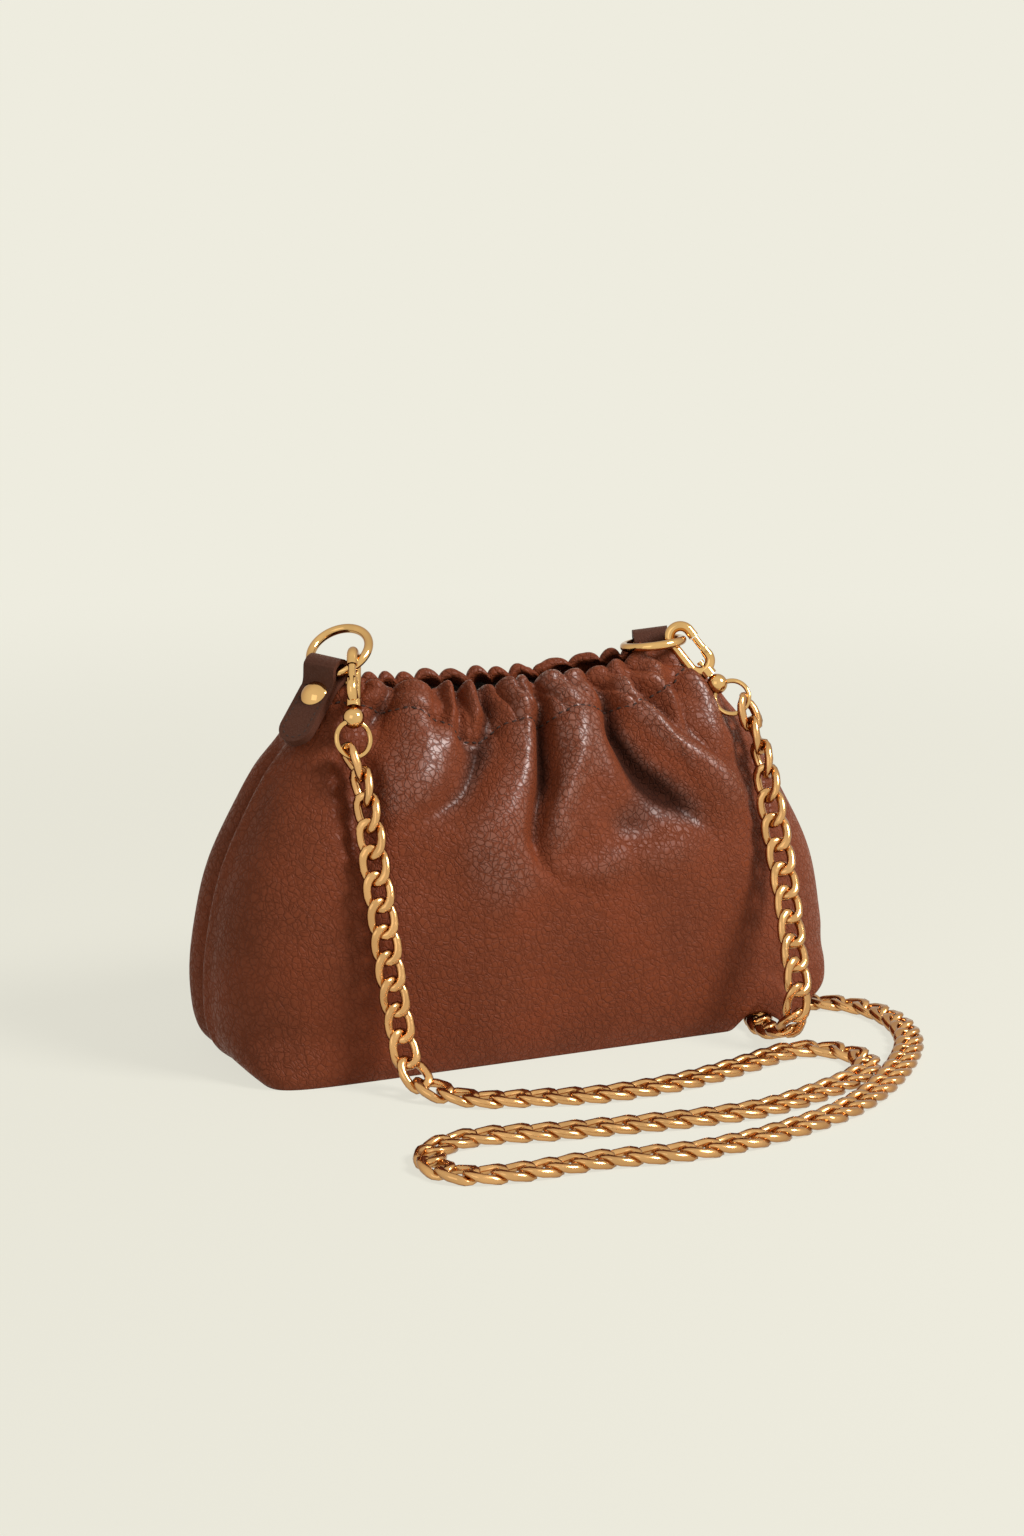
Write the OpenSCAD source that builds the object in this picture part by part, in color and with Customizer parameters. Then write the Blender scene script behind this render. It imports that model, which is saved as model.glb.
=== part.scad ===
// Gathered leather shoulder bag on a curb-chain strap.
// X runs to the bag's right, the front faces -Y and Z is up.
// The origin is on the floor, under the middle of the leather body.

/* [Leather body] */
// Overall length of the body at its fullest height
belly_length = 268; // [220:1:320]
// Overall depth of the body at its fullest height
belly_depth = 104; // [84:1:130]
// Height of the mouth's edge at its two ends
rim_end_height = 152; // [130:1:190]
// Height of the mouth's edge at the middle of each side
rim_mid_height = 143; // [120:1:180]
// Thickness of the outer leather
leather = 1.8; // [1.2:0.1:2.4]
// Depth of each gather at the mouth
gather_depth = 2.2; // [0:0.1:3]
// Height of the tallest fold that runs down from the mouth
fold_height = 7; // [0:0.5:8]
// How high the front right corner rides over the chain beneath it
corner_lift = 8.6; // [7.5:0.1:12]

/* [Inside] */
// Thickness of the lining
lining_wall = 0.8; // [0.5:0.1:1.2]
// Height of the lining's floor
lining_floor = 12; // [11:0.5:20]
// Thickness of the board in the base
board_thickness = 1.5; // [1:0.1:2.5]
// Width of the elastic in the hem
elastic_width = 6; // [4:0.5:8]
// Diameter of each magnet in the closure
magnet_diameter = 14; // [10:1:18]
// Thickness of each magnet in the closure
magnet_thickness = 2.4; // [1.5:0.1:3]

/* [Tabs and rivets] */
// Width of the tabs that hold the rings
tab_width = 14.5; // [12:0.5:16]
// Length of a tab from its fold to its round end
tab_length = 39; // [34:1:48]
// Thickness of the leather strip that is folded into a tab
tab_leather = 1.8; // [1.4:0.1:2.2]
// Diameter of the rivet's dome
rivet_diameter = 11; // [8:0.5:12]
// Diameter of the rivet's post
rivet_post = 3; // [2.5:0.1:4]

/* [Rings and hooks] */
// Thickness of the round ring's wire
ring_wire = 3.6; // [3:0.1:4]
// Outside diameter of the round rings
ring_diameter = 27.6; // [26:0.1:30]
// Length of a hook from the middle of its beak to the middle of its ball
hook_length = 24.5; // [23:0.5:34]
// Thickness of the hook's bar
hook_wire = 4.2; // [3.6:0.1:4.6]
// Thickness of the hook's gate
gate_wire = 3; // [2.6:0.1:3.2]
// Diameter of the ball at the foot of a hook
ball_diameter = 8.4; // [8:0.1:10]
// Thickness of the small ring between a hook and the chain
jump_wire = 2; // [1.8:0.1:2.4]
// Outside diameter of the small ring between a hook and the chain
jump_diameter = 16; // [14.5:0.5:18]

/* [Chain] */
// Thickness of the wire that the links are bent from
link_wire = 2.1; // [1.8:0.1:2.2]
// Length of a link, over all
link_length = 15.4; // [15:0.1:17]
// Width of a link, over all
link_width = 11.4; // [10.6:0.1:12]

/* [Hidden] */
$fn = 48;
// Gap between pieces that lie against each other
gap = 0.3;
// How far a cutter runs past the face that it cuts
overrun = 1;

// The body's outline, level by level: share of the height, of the half length, of the half
// depth, and how square the corners are. The last column shifts the mouth to the left.
level_shares = [
    [0.00, 0.905, 0.905, 8.0, 0.00],
    [0.04, 0.955, 0.955, 5.5, 0.00],
    [0.10, 0.988, 0.990, 4.0, 0.00],
    [0.20, 1.000, 1.000, 3.3, 0.00],
    [0.36, 0.972, 0.995, 3.2, -0.01],
    [0.54, 0.910, 0.910, 3.2, -0.02],
    [0.70, 0.820, 0.770, 3.1, -0.02],
    [0.84, 0.720, 0.570, 2.9, -0.02],
    [0.94, 0.630, 0.390, 2.7, -0.04],
    [1.00, 0.515, 0.285, 2.5, -0.075]];
// Stations round one side of the body, from one seam to the other
side_steps = 36;
// Gathers along one side of the mouth
gathers = 9;
// Share of the height above which the gathers start
gather_start_share = 0.62;
// Share of the turn that the stations near a seam take up
seam_crowding_share = 0.3;

function smooth(t) = let (c = min(1, max(0, t))) c * c * (3 - 2 * c);
function unit(v) = v / norm(v);
function level(share, column) = lookup(share, [for (row = level_shares) [row[0], row[column]]]);

// Station angle from the middle of a side, where s runs from -1 at one seam to 1 at the other.
function station_angle(s) =
    90 * ((1 - seam_crowding_share) * s + seam_crowding_share * s * s * s * s * s);

// How far the front right corner is raised over the chain
lift_from = [66, 3];
lift_run = 16;
function lift_at(x, y) =
    corner_lift * smooth((x - lift_from[0]) / lift_run) * smooth((-y - lift_from[1]) / lift_run);

// A point of the body's outer surface: side is -1 at the front and 1 at the back.
function outline_point(s, share, side, inset = 0) =
    let (angle = station_angle(s),
         square = level(share, 3),
         reach = pow(pow(abs(sin(angle)), square) + pow(abs(cos(angle)), square), -1 / square),
         half_length = belly_length / 2 * level(share, 1) - inset,
         half_depth = belly_depth / 2 * level(share, 2) - inset)
    [half_length * reach * sin(angle) + belly_length / 2 * level(share, 4),
     side * half_depth * reach * cos(angle)];

function rim_height(s) =
    rim_mid_height + (rim_end_height - rim_mid_height) * pow(sin(station_angle(s)), 2);

// The ridges of the folds that run down the front from the mouth. Each starts with its half
// width, as a share of the body's length. Its points follow from the top down: station, share
// of the height, and share of the tallest fold's height. The back's are their mirror image,
// drawn closer together.
ridge_shares = [
    [0.039, [[-0.5, 1, 0.3], [-0.45, 0.94, 0.6], [-0.42, 0.84, 0.9], [-0.44, 0.74, 0.6], [-0.48, 0.63, 0]]],
    [0.037, [[0.03, 1, 0.5], [-0.05, 0.9, 0.7], [-0.12, 0.76, 0.8], [-0.19, 0.65, 0.6], [-0.15, 0.46, 0]]],
    [0.047, [[0.24, 1, 0.6], [0.2, 0.9, 1], [0.17, 0.8, 1], [0.12, 0.7, 0.6], [0.07, 0.6, 0]]],
    [0.034, [[0.56, 1, 0.5], [0.47, 0.94, 0.7], [0.48, 0.87, 0.8], [0.56, 0.75, 0.7], [0.68, 0.59, 0]]],
    [0.034, [[-0.05, 0.6, 0], [0.05, 0.52, 0.35], [0.23, 0.55, 0.35], [0.43, 0.56, 0.3], [0.5, 0.6, 0]]]];
back_ridge_share = 0.94;
function ridge_place(row) = [row[0] * belly_length / 2, row[1] * rim_mid_height];
function ridge_height(place, points, half_width) =
    max([for (i = [0 : len(points) - 2])
        let (a = ridge_place(points[i]),
             run = ridge_place(points[i + 1]) - a,
             t = min(1, max(0, (place - a) * run / (run * run))),
             away = norm(place - a - t * run))
        (points[i][2] + t * (points[i + 1][2] - points[i][2])) * exp(-pow(away / half_width, 2))]);
function fold_at(s, share, side) =
    let (place = ridge_place([side < 0 ? s : -s / back_ridge_share, share]))
    fold_height * max([for (ridge = ridge_shares) ridge_height(place, ridge[1], ridge[0] * belly_length)]);

// A point of the leather's outer face, with the share that the folds have of their height.
// What lies inside or is fastened on follows the plain face, where they have none.
function body_point(s, share, side, folded = 0) =
    let (flat = outline_point(s, share, side),
         foot = outline_point(s, 0, side),
         start = lift_at(foot[0], foot[1]),
         ripple = gather_depth * pow(max(0, (share - gather_start_share) / (1 - gather_start_share)), 2)
                  * pow(1 - s * s, 1.5) * cos(s * gathers * 180))
    [flat[0], flat[1] + side * (ripple + (folded == 0 ? 0 : folded * fold_at(s, share, side))),
     start + (rim_height(s) - start) * share];

// Outward normal of the body's surface, from the points on either side.
nudge = 0.004;
function body_normal(s, share, side, folded = 0) =
    let (right = body_point(min(1, s + nudge), share, side, folded),
         left = body_point(max(-1, s - nudge), share, side, folded),
         above = body_point(s, min(1, share + nudge), side, folded),
         below = body_point(s, max(0, share - nudge), side, folded))
    unit(cross(right - left, above - below)) * -side;

function inset_point(s, share, side, inset, folded = 0) =
    let (p = body_point(s, share, side, folded), n = body_normal(s, share, side, folded))
    p - inset * (inset > 0 ? unit([n[0], n[1], 0]) : n);

// Closed sheet over a grid of outer and inner points, rows of equal length.
module sheet(outer, inner) {
    rows = len(outer);
    columns = len(outer[0]);
    count = rows * columns;
    function at(i, j) = i * columns + j;
    faces = [
        for (i = [0 : rows - 2]) for (j = [0 : columns - 2]) each [
            [at(i, j), at(i + 1, j), at(i + 1, j + 1)],
            [at(i, j), at(i + 1, j + 1), at(i, j + 1)],
            [count + at(i, j), count + at(i + 1, j + 1), count + at(i + 1, j)],
            [count + at(i, j), count + at(i, j + 1), count + at(i + 1, j + 1)]],
        for (j = [0 : columns - 2]) each [
            [at(0, j), at(0, j + 1), count + at(0, j + 1)],
            [at(0, j), count + at(0, j + 1), count + at(0, j)],
            [at(rows - 1, j), count + at(rows - 1, j + 1), at(rows - 1, j + 1)],
            [at(rows - 1, j), count + at(rows - 1, j), count + at(rows - 1, j + 1)]],
        for (i = [0 : rows - 2]) each [
            [at(i, 0), count + at(i, 0), count + at(i + 1, 0)],
            [at(i, 0), count + at(i + 1, 0), at(i + 1, 0)],
            [at(i, columns - 1), count + at(i + 1, columns - 1), count + at(i, columns - 1)],
            [at(i, columns - 1), at(i + 1, columns - 1), count + at(i + 1, columns - 1)]]];
    polyhedron(points = [for (row = outer) each row, for (row = inner) each row], faces = faces);
}

// One leather side, from the left seam to the right one, at these shares of the height
panel_shares = [0, 0.04, 0.1, 0.2, 0.36, 0.54, 0.62, 0.7, 0.77, 0.84, 0.89, 0.94, 1];
module side_panel(side) {
    seam_share = 1 - gap / belly_depth;
    stations = [for (j = [0 : side_steps]) (2 * j / side_steps - 1) * seam_share];
    ordered = side < 0 ? stations : [for (j = [side_steps : -1 : 0]) stations[j]];
    sheet([for (h = panel_shares) [for (s = ordered) body_point(s, h, side, 1)]],
          [for (h = panel_shares) [for (s = ordered) inset_point(s, h, side, leather, 1)]]);
}

module front_panel() {
    color("#70402c") difference() {
        side_panel(-1);
        post_hole(0);
    }
}

module back_panel() {
    color("#6b3c2a") difference() {
        side_panel(1);
        post_hole(1);
    }
}

// Base: grid shares of the half length and half depth
base_x_shares = [-1, -0.7, -0.2, 0.3, 0.52, 0.6, 0.69, 0.8, 0.9, 1];
base_y_shares = [-1, -0.7, -0.38, -0.2, -0.05, 0.4, 1];
function base_point(p, q, inset, rise) =
    let (square = level(0, 3),
         size = [belly_length, belly_depth] / 2 * level(0, 1) - [inset, inset],
         reach = max(abs(p), abs(q)) * pow(pow(abs(p), square) + pow(abs(q), square), -1 / square),
         x = p == 0 && q == 0 ? 0 : size[0] * p * reach,
         y = p == 0 && q == 0 ? 0 : size[1] * q * reach)
    [x, y, lift_at(x, y) + rise];

module base_panel() {
    inset = leather + gap;
    color("#5c3325") sheet(
        [for (q = base_y_shares) [for (p = base_x_shares) base_point(p, q, inset, leather)]],
        [for (q = base_y_shares) [for (p = base_x_shares) base_point(p, q, inset, 0)]]);
}

// The board stops short of the corner that rides over the chain.
module base_board() {
    size = [belly_length, belly_depth] / 2 * level(0, 1);
    margin = leather + 2 * leather;
    left = -size[0] + 2 * margin;
    right = lift_from[0] - 2 * leather;
    color("#c8b48a") translate([left, -size[1] + margin, leather + gap])
        cube([right - left, 2 * (size[1] - margin), board_thickness]);
}

// A closed loop of stations round the body, front first and then back.
loop = [for (j = [0 : side_steps - 1]) [2 * j / side_steps - 1, -1],
        for (j = [side_steps : -1 : 1]) [2 * j / side_steps - 1, 1]];
function loop_ring(share, inset) = [for (p = loop) inset_point(p[0], share, p[1], inset)];

// Closed wall over a list of rings, the outside ones from bottom to top and then the
// inside ones from top to bottom. The two ends are joined, or closed by flat ends.
module ring_wall(rings, flat_ends) {
    n = len(rings[0]);
    m = len(rings);
    steps = flat_ends ? m - 1 : m;
    walls = [for (i = [0 : steps - 1]) for (j = [0 : n - 1])
        let (i2 = (i + 1) % m, j2 = (j + 1) % n) each [
            [i * n + j, i2 * n + j2, i * n + j2],
            [i * n + j, i2 * n + j, i2 * n + j2]]];
    middle = [for (r = [rings[0], rings[m - 1]]) [for (k = [0 : 2]) mean([for (p = r) p[k]])]];
    ends = flat_ends ? [for (j = [0 : n - 1]) let (j2 = (j + 1) % n) each [
            [m * n, j, j2],
            [m * n + 1, (m - 1) * n + j2, (m - 1) * n + j]]] : [];
    points = [for (r = rings) each r, each flat_ends ? middle : []];
    polyhedron(points = points, faces = [each walls, each ends]);
}
function mean(list) = list * [for (v = list) 1] / len(list);

// The lining's levels, from its floor to the underside of the elastic
floor_share = 0.02;
elastic_top_share = 0.98;
elastic_low_share = elastic_top_share - elastic_width / rim_mid_height;
lining_top_share = elastic_low_share - gap / rim_mid_height;
function at_height(ring, z) = [for (p = ring) [p[0], p[1], z]];

module lining() {
    outside = leather + 2 * gap;
    inside = outside + lining_wall;
    shares = [0.2, 0.54, 0.70, 0.84, lining_top_share];
    color("#b8895e") difference() {
        ring_wall([
        at_height(loop_ring(floor_share, outside), lining_floor),
        for (h = shares) loop_ring(h, outside),
        for (k = [len(shares) - 1 : -1 : 0]) loop_ring(shares[k], inside),
        at_height(loop_ring(floor_share, inside), lining_floor + lining_wall)], true);
        post_hole(0);
        post_hole(1);
    }
}

module mouth_elastic() {
    outside = leather + 2 * gap;
    inside = outside + lining_wall;
    color("#2e2320") difference() {
        ring_wall([
        loop_ring(elastic_low_share, outside), loop_ring(elastic_top_share, outside),
        loop_ring(elastic_top_share, inside), loop_ring(elastic_low_share, inside)], false);
        post_hole(0);
        post_hole(1);
    }
}

// The closure: a magnet on each wall of the lining, below the mouth.
magnet_share = 0.84;
magnet_stand = 1.1;
module magnet(side) {
    n = body_normal(0, magnet_share, side);
    x = unit(cross(-n, [0, 0, 1]));
    depth = leather + 2 * gap + lining_wall + magnet_stand;
    in_frame([x, cross(-n, x), -n, body_point(0, magnet_share, side) - n * depth])
        cylinder(d = magnet_diameter, h = magnet_thickness);
}
module front_magnet() {
    color("#c9a24a") magnet(-1);
}
module back_magnet() {
    color("#c9a24a") magnet(1);
}

// The tabs' places on the body: seam-to-seam station, share of the height, side, and the
// roll of the tab in its own plane. The left one comes first.
tab_stations = [-0.905, 0.805];
tab_height_shares = [0.953, 0.958];
tab_sides = [-1, 1];
tab_rolls = [-14, -45];
// How far the rings lean from the tab's plane over the mouth
ring_leans = [10, 45.5];
// Where the hooks sit on their rings, as a turn from the top, and the way round
hook_turns = [119, 90];
ring_ways = [1, -1];
// The direction in which each hook hangs
hook_falls = [[-0.24, -0.61, -0.75], [0.5, -0.39, -0.76]];
// The way each small ring faces, and the direction in which it hangs
jump_faces = [[0.07, -0.94, 0.3], [-0.45, -0.78, 0.4]];
jump_falls = [[-0.12, -0.36, -0.93], [0.65, -0.35, -0.7]];

// Distance from the rivet's axis up to the tunnel's axis
rivet_up = rivet_diameter / 2 + rivet_diameter / 2;
// Distance between the leather and the tab that lies on it
tab_stand = 5 * gap;
ring_radius = (ring_diameter - ring_wire) / 2;
// The tunnel is wide enough for the ring's curve over the tab's width.
ring_inside = ring_radius - ring_wire / 2;
ring_sag = ring_inside - sqrt(ring_inside * ring_inside - tab_width * tab_width / 4);
tunnel_radius = (ring_sag + ring_wire) / 2 + gap;
fold_radius = tunnel_radius + tab_leather;
fold_forward = (fold_radius - tab_leather) / 2;
tab_end = tab_length - rivet_up - fold_radius;
wide_nudge = 0.03;

// Frame of a tab: X along its width, Y into the bag, Z up the tab, and its origin on the
// rivet's axis between the two leaves.
function tab_frame(k) =
    let (s = tab_stations[k], h = tab_height_shares[k], side = tab_sides[k],
         along = body_point(s + wide_nudge, h, side) - body_point(s - wide_nudge, h, side),
         up = body_point(s, h + wide_nudge, side) - body_point(s, h - wide_nudge, side),
         out = unit(cross(along, up)) * -side,
         x0 = unit(cross(-out, up)),
         z0 = cross(x0, -out),
         z = z0 * cos(tab_rolls[k]) + x0 * sin(tab_rolls[k]),
         x = cross(-out, z),
         o = body_point(s, h, side) + out * (tab_stand + tab_leather))
    [x, -out, z, o];
function place(f, p) = f[3] + f[0] * p[0] + f[1] * p[1] + f[2] * p[2];
module in_frame(f) {
    multmatrix([for (i = [0 : 2]) [f[0][i], f[1][i], f[2][i], f[3][i]]]) children();
}

// Frame of a round ring: X along the tunnel, Z from the tunnel to the ring's middle.
function ring_frame(k) =
    let (f = tab_frame(k),
         z = f[1] * sin(ring_leans[k]) + f[2] * cos(ring_leans[k]),
         x = f[0],
         tunnel = place(f, [0, -fold_forward, rivet_up]))
    [x, cross(z, x), z, tunnel + z * (ring_radius - ring_sag / 2)];

// Frame of a hook: Y along the ring's wire as nearly as the hook's fall lets it, Z up to
// the beak, and its origin in the middle of the beak's curve.
wire_drop = 1.2;
// A direction of hanging, which leans out further over a deeper body, by this power
lean_power = 1.6;
function fall(v) = [v[0], v[1] * pow(belly_depth / drawn_size[1], lean_power), v[2]];
function hook_frame(k) =
    let (f = ring_frame(k),
         b = hook_turns[k],
         w = f[0] * ring_ways[k],
         at = f[3] + ring_radius * (f[2] * cos(b) + w * sin(b)),
         wire = f[2] * -sin(b) + w * cos(b),
         z = -unit(fall(hook_falls[k])),
         y = unit(wire - (wire * z) * z) * ring_ways[k])
    [cross(y, z), y, z, at + z * wire_drop];

module left_tab() {
    color("#58372a") tab(0);
}
module right_tab() {
    color("#58372a") tab(1);
}
// The folded strip, seen along its tunnel. The fold's curve turns between these angles.
fold_turn = [-40, 235];
fold_steps = 22;
module tab_section() {
    neck = rivet_up - fold_radius;
    fold = [for (i = [0 : fold_steps]) let (a = fold_turn[0] + (fold_turn[1] - fold_turn[0]) * i / fold_steps)
        [fold_radius * cos(a) - fold_forward, fold_radius * sin(a) + rivet_up]];
    difference() {
        polygon([[tab_leather, -tab_end], [tab_leather, neck], each fold,
                 [-tab_leather, neck - gap], [-tab_leather, -tab_end]]);
        translate([-fold_forward, rivet_up]) circle(r = tunnel_radius);
    }
}
module tab(k) {
    half = tab_width / 2;
    deep = 2 * (fold_radius + fold_forward);
    in_frame(tab_frame(k)) difference() {
        intersection() {
            rotate([90, 0, 90]) translate([0, 0, -half]) linear_extrude(tab_width) tab_section();
            rotate([90, 0, 0]) translate([0, 0, -deep]) linear_extrude(2 * deep) union() {
                translate([0, half - tab_end]) circle(d = tab_width);
                translate([-half, half - tab_end]) square([tab_width, 2 * tab_length]);
            }
        }
        rotate([90, 0, 0]) cylinder(d = rivet_post + gap, h = 4 * tab_leather, center = true);
    }
}

// A rivet's dome and post. The post goes through the tab and the walls into the base.
dome_height = 2.4;
wall_depth = tab_leather + tab_stand + leather + lining_wall + 6 * gap;
base_height = 1.2;
base_diameter = 7;
module rivet(k) {
    dome_radius = (rivet_diameter * rivet_diameter / 4 + dome_height * dome_height) / (2 * dome_height);
    in_frame(tab_frame(k)) rotate([90, 0, 0]) union() {
        translate([0, 0, tab_leather + gap / 2]) intersection() {
            translate([0, 0, dome_height - dome_radius]) sphere(r = dome_radius);
            cylinder(d = rivet_diameter, h = dome_height);
        }
        translate([0, 0, -wall_depth - base_height])
            cylinder(d = rivet_post, h = wall_depth + base_height + tab_leather + gap);
    }
}
module rivet_base(k) {
    in_frame(tab_frame(k)) rotate([90, 0, 0]) translate([0, 0, -wall_depth - base_height])
        difference() {
            cylinder(d = base_diameter, h = base_height);
            translate([0, 0, -overrun]) cylinder(d = rivet_post + gap / 2, h = base_height + 2 * overrun);
        }
}
module post_hole(k) {
    in_frame(tab_frame(k)) rotate([90, 0, 0])
        cylinder(d = rivet_post + gap, h = 3 * wall_depth, center = true);
}
module left_rivet() {
    color("#d9a860") rivet(0);
}
module right_rivet() {
    color("#d9a860") rivet(1);
}
module left_rivet_base() {
    color("#b08a4a") rivet_base(0);
}
module right_rivet_base() {
    color("#b08a4a") rivet_base(1);
}

module round_ring(k) {
    in_frame(ring_frame(k)) rotate([90, 0, 0]) rotate_extrude() translate([ring_radius, 0])
        circle(d = ring_wire);
}
module left_ring() {
    color("#d9a860") round_ring(0);
}
module right_ring() {
    color("#d9a860") round_ring(1);
}

// Hook: the bar stands at +X, the gate at -X. All heights are from the beak's middle.
beak_radius = (ring_wire + hook_wire + 4 * gap) / 2;
foot_height = 2;
foot_diameter = 6;
ball_radius = ball_diameter / 2;
ball_at = -hook_length;
foot_at = ball_at + ball_radius + gap;
heel_at = foot_at + foot_height + beak_radius + hook_wire / 4;
// The beak's tip comes down past the ring's wire, so that the gate swings in below it.
tip_drop = wire_drop + ring_wire / 2 + gap;
pin_diameter = 1.2;
pivot_at = heel_at + pin_diameter;
tongue = 1.4;
slot = tongue + 2 * gap;
gate_foot = pivot_at + hook_wire / 2 + gap;
shank_diameter = 2;
shank_head = 3;
bow_inside = beak_radius - hook_wire / 2;
head_at = heel_at - sqrt(bow_inside * bow_inside - shank_head * shank_head / 4) + gap;

module hook_bow() {
    rotate([90, 0, 0]) rotate_extrude(angle = 180) translate([beak_radius, 0]) circle(d = hook_wire);
}
module hook(k) {
    in_frame(hook_frame(k)) difference() {
        union() {
            hook_bow();
            translate([-beak_radius, 0, -tip_drop]) cylinder(d = hook_wire, h = tip_drop);
            translate([beak_radius, 0, heel_at]) cylinder(d = hook_wire, h = -heel_at);
            translate([0, 0, heel_at]) rotate([0, 180, 0]) hook_bow();
            translate([0, 0, foot_at]) cylinder(d = foot_diameter, h = foot_height + hook_wire / 4);
            translate([-beak_radius, 0, heel_at]) intersection() {
                cylinder(d = hook_wire, h = 2 * hook_wire);
                union() {
                    translate([0, 0, pivot_at - heel_at]) rotate([90, 0, 0])
                        cylinder(d = hook_wire, h = 2 * hook_wire, center = true);
                    translate([-hook_wire, -hook_wire, 0])
                        cube([2 * hook_wire, 2 * hook_wire, pivot_at - heel_at]);
                }
            }
        }
        translate([-beak_radius, 0, pivot_at]) rotate([90, 0, 0])
            cylinder(d = pin_diameter + gap / 3, h = 2 * hook_wire, center = true);
        translate([-beak_radius, 0, pivot_at]) rotate([90, 0, 0])
            cylinder(d = hook_wire - gap, h = slot, center = true);
        translate([-beak_radius - hook_wire, -slot / 2, pivot_at]) cube([2 * hook_wire, slot, hook_wire]);
        translate([0, 0, foot_at - overrun])
            cylinder(d = shank_diameter + 2 * gap, h = heel_at - foot_at);
    }
}
module left_hook() {
    color("#d9a860") hook(0);
}
module right_hook() {
    color("#d9a860") hook(1);
}

module gate(k) {
    in_frame(hook_frame(k)) translate([-beak_radius, 0, 0]) difference() {
        union() {
            translate([0, 0, gate_foot]) cylinder(d = gate_wire, h = -gate_foot - tip_drop - gap);
            intersection() {
                translate([0, 0, pivot_at - gate_wire]) cylinder(d = gate_wire, h = 2 * gate_wire);
                union() {
                    translate([0, 0, pivot_at]) rotate([90, 0, 0])
                        cylinder(d = gate_wire, h = tongue, center = true);
                    translate([-gate_wire, -tongue / 2, pivot_at])
                        cube([2 * gate_wire, tongue, gate_foot - pivot_at + gap]);
                }
            }
        }
        translate([0, 0, pivot_at]) rotate([90, 0, 0])
            cylinder(d = pin_diameter + gap, h = 2 * hook_wire, center = true);
    }
}
module left_gate() {
    color("#e3b56f") gate(0);
}
module right_gate() {
    color("#e3b56f") gate(1);
}
module gate_pin(k) {
    in_frame(hook_frame(k)) translate([-beak_radius, 0, pivot_at]) rotate([90, 0, 0])
        cylinder(d = pin_diameter, h = hook_wire + gap, center = true);
}
module left_gate_pin() {
    color("#c08f45") gate_pin(0);
}
module right_gate_pin() {
    color("#c08f45") gate_pin(1);
}

// The ball turns on its shank in the hook's foot, and the small ring goes through it.
jump_radius = (jump_diameter - jump_wire) / 2;
eye_drop = 1.3;
function jump_frame(k) =
    let (f = hook_frame(k), at = place(f, [0, 0, ball_at - eye_drop]),
         out = unit(jump_faces[k]),
         down = unit(fall(jump_falls[k]) - (fall(jump_falls[k]) * out) * out))
    [cross(down, -out), out, -down, at + down * jump_radius];
module jump_torus(k, wire) {
    in_frame(jump_frame(k)) rotate([90, 0, 0]) rotate_extrude() translate([jump_radius, 0]) circle(d = wire);
}
module swivel(k) {
    difference() {
        in_frame(hook_frame(k)) union() {
            translate([0, 0, ball_at]) sphere(r = ball_radius);
            translate([0, 0, ball_at]) cylinder(d = shank_diameter, h = head_at - ball_at);
            translate([0, 0, head_at]) cylinder(d = shank_head, h = pin_diameter);
        }
        jump_torus(k, jump_wire + 2 * gap);
    }
}
module left_swivel() {
    color("#d9a860") swivel(0);
}
module right_swivel() {
    color("#d9a860") swivel(1);
}
module left_jump_ring() {
    color("#d9a860") jump_torus(0, jump_wire);
}
module right_jump_ring() {
    color("#d9a860") jump_torus(1, jump_wire);
}

// Chain: one run of links from one small ring over the floor to the other. A link's outline
// is a ring of stations, each a small square of wire set on its corner.
link_stations = 10;
half_link = (link_length - link_wire) / 2;
half_width = (link_width - link_wire) / 2;
bow_rise = 1.45;
bow_skew = 0.75;
side_power = 0.8;
round_share = 0.8;
flat_share = 0.48;
// How far links reach into each other, as a share of their wire
hooked_share = 1.46;
link_pitch = 2 * half_link - hooked_share * link_wire;
link_rest = 3.1;

function link_curve(a) =
    [half_link * cos(a), half_width * sign(sin(a)) * pow(abs(sin(a)), side_power),
     bow_rise * sin(2 * a) * (1 + bow_skew * cos(2 * a))];
link_step = 360 / link_stations;
link_points = [for (i = [0 : link_stations - 1])
    let (a = i * link_step, p = link_curve(a),
         t = unit(link_curve(a + link_step / 2) - link_curve(a - link_step / 2)),
         o0 = [round_share * cos(a), sin(a), 0],
         o = unit(o0 - (o0 * t) * t) * link_wire / 2,
         z = unit(cross(t, o)) * link_wire * flat_share)
    each [p + o, p + z, p - o, p - z]];
link_faces = [for (i = [0 : link_stations - 1]) for (j = [0 : 3])
    let (i2 = (i + 1) % link_stations, j2 = (j + 1) % 4) each [
        [i * 4 + j, i2 * 4 + j, i2 * 4 + j2],
        [i * 4 + j, i2 * 4 + j2, i * 4 + j2]]];

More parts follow.
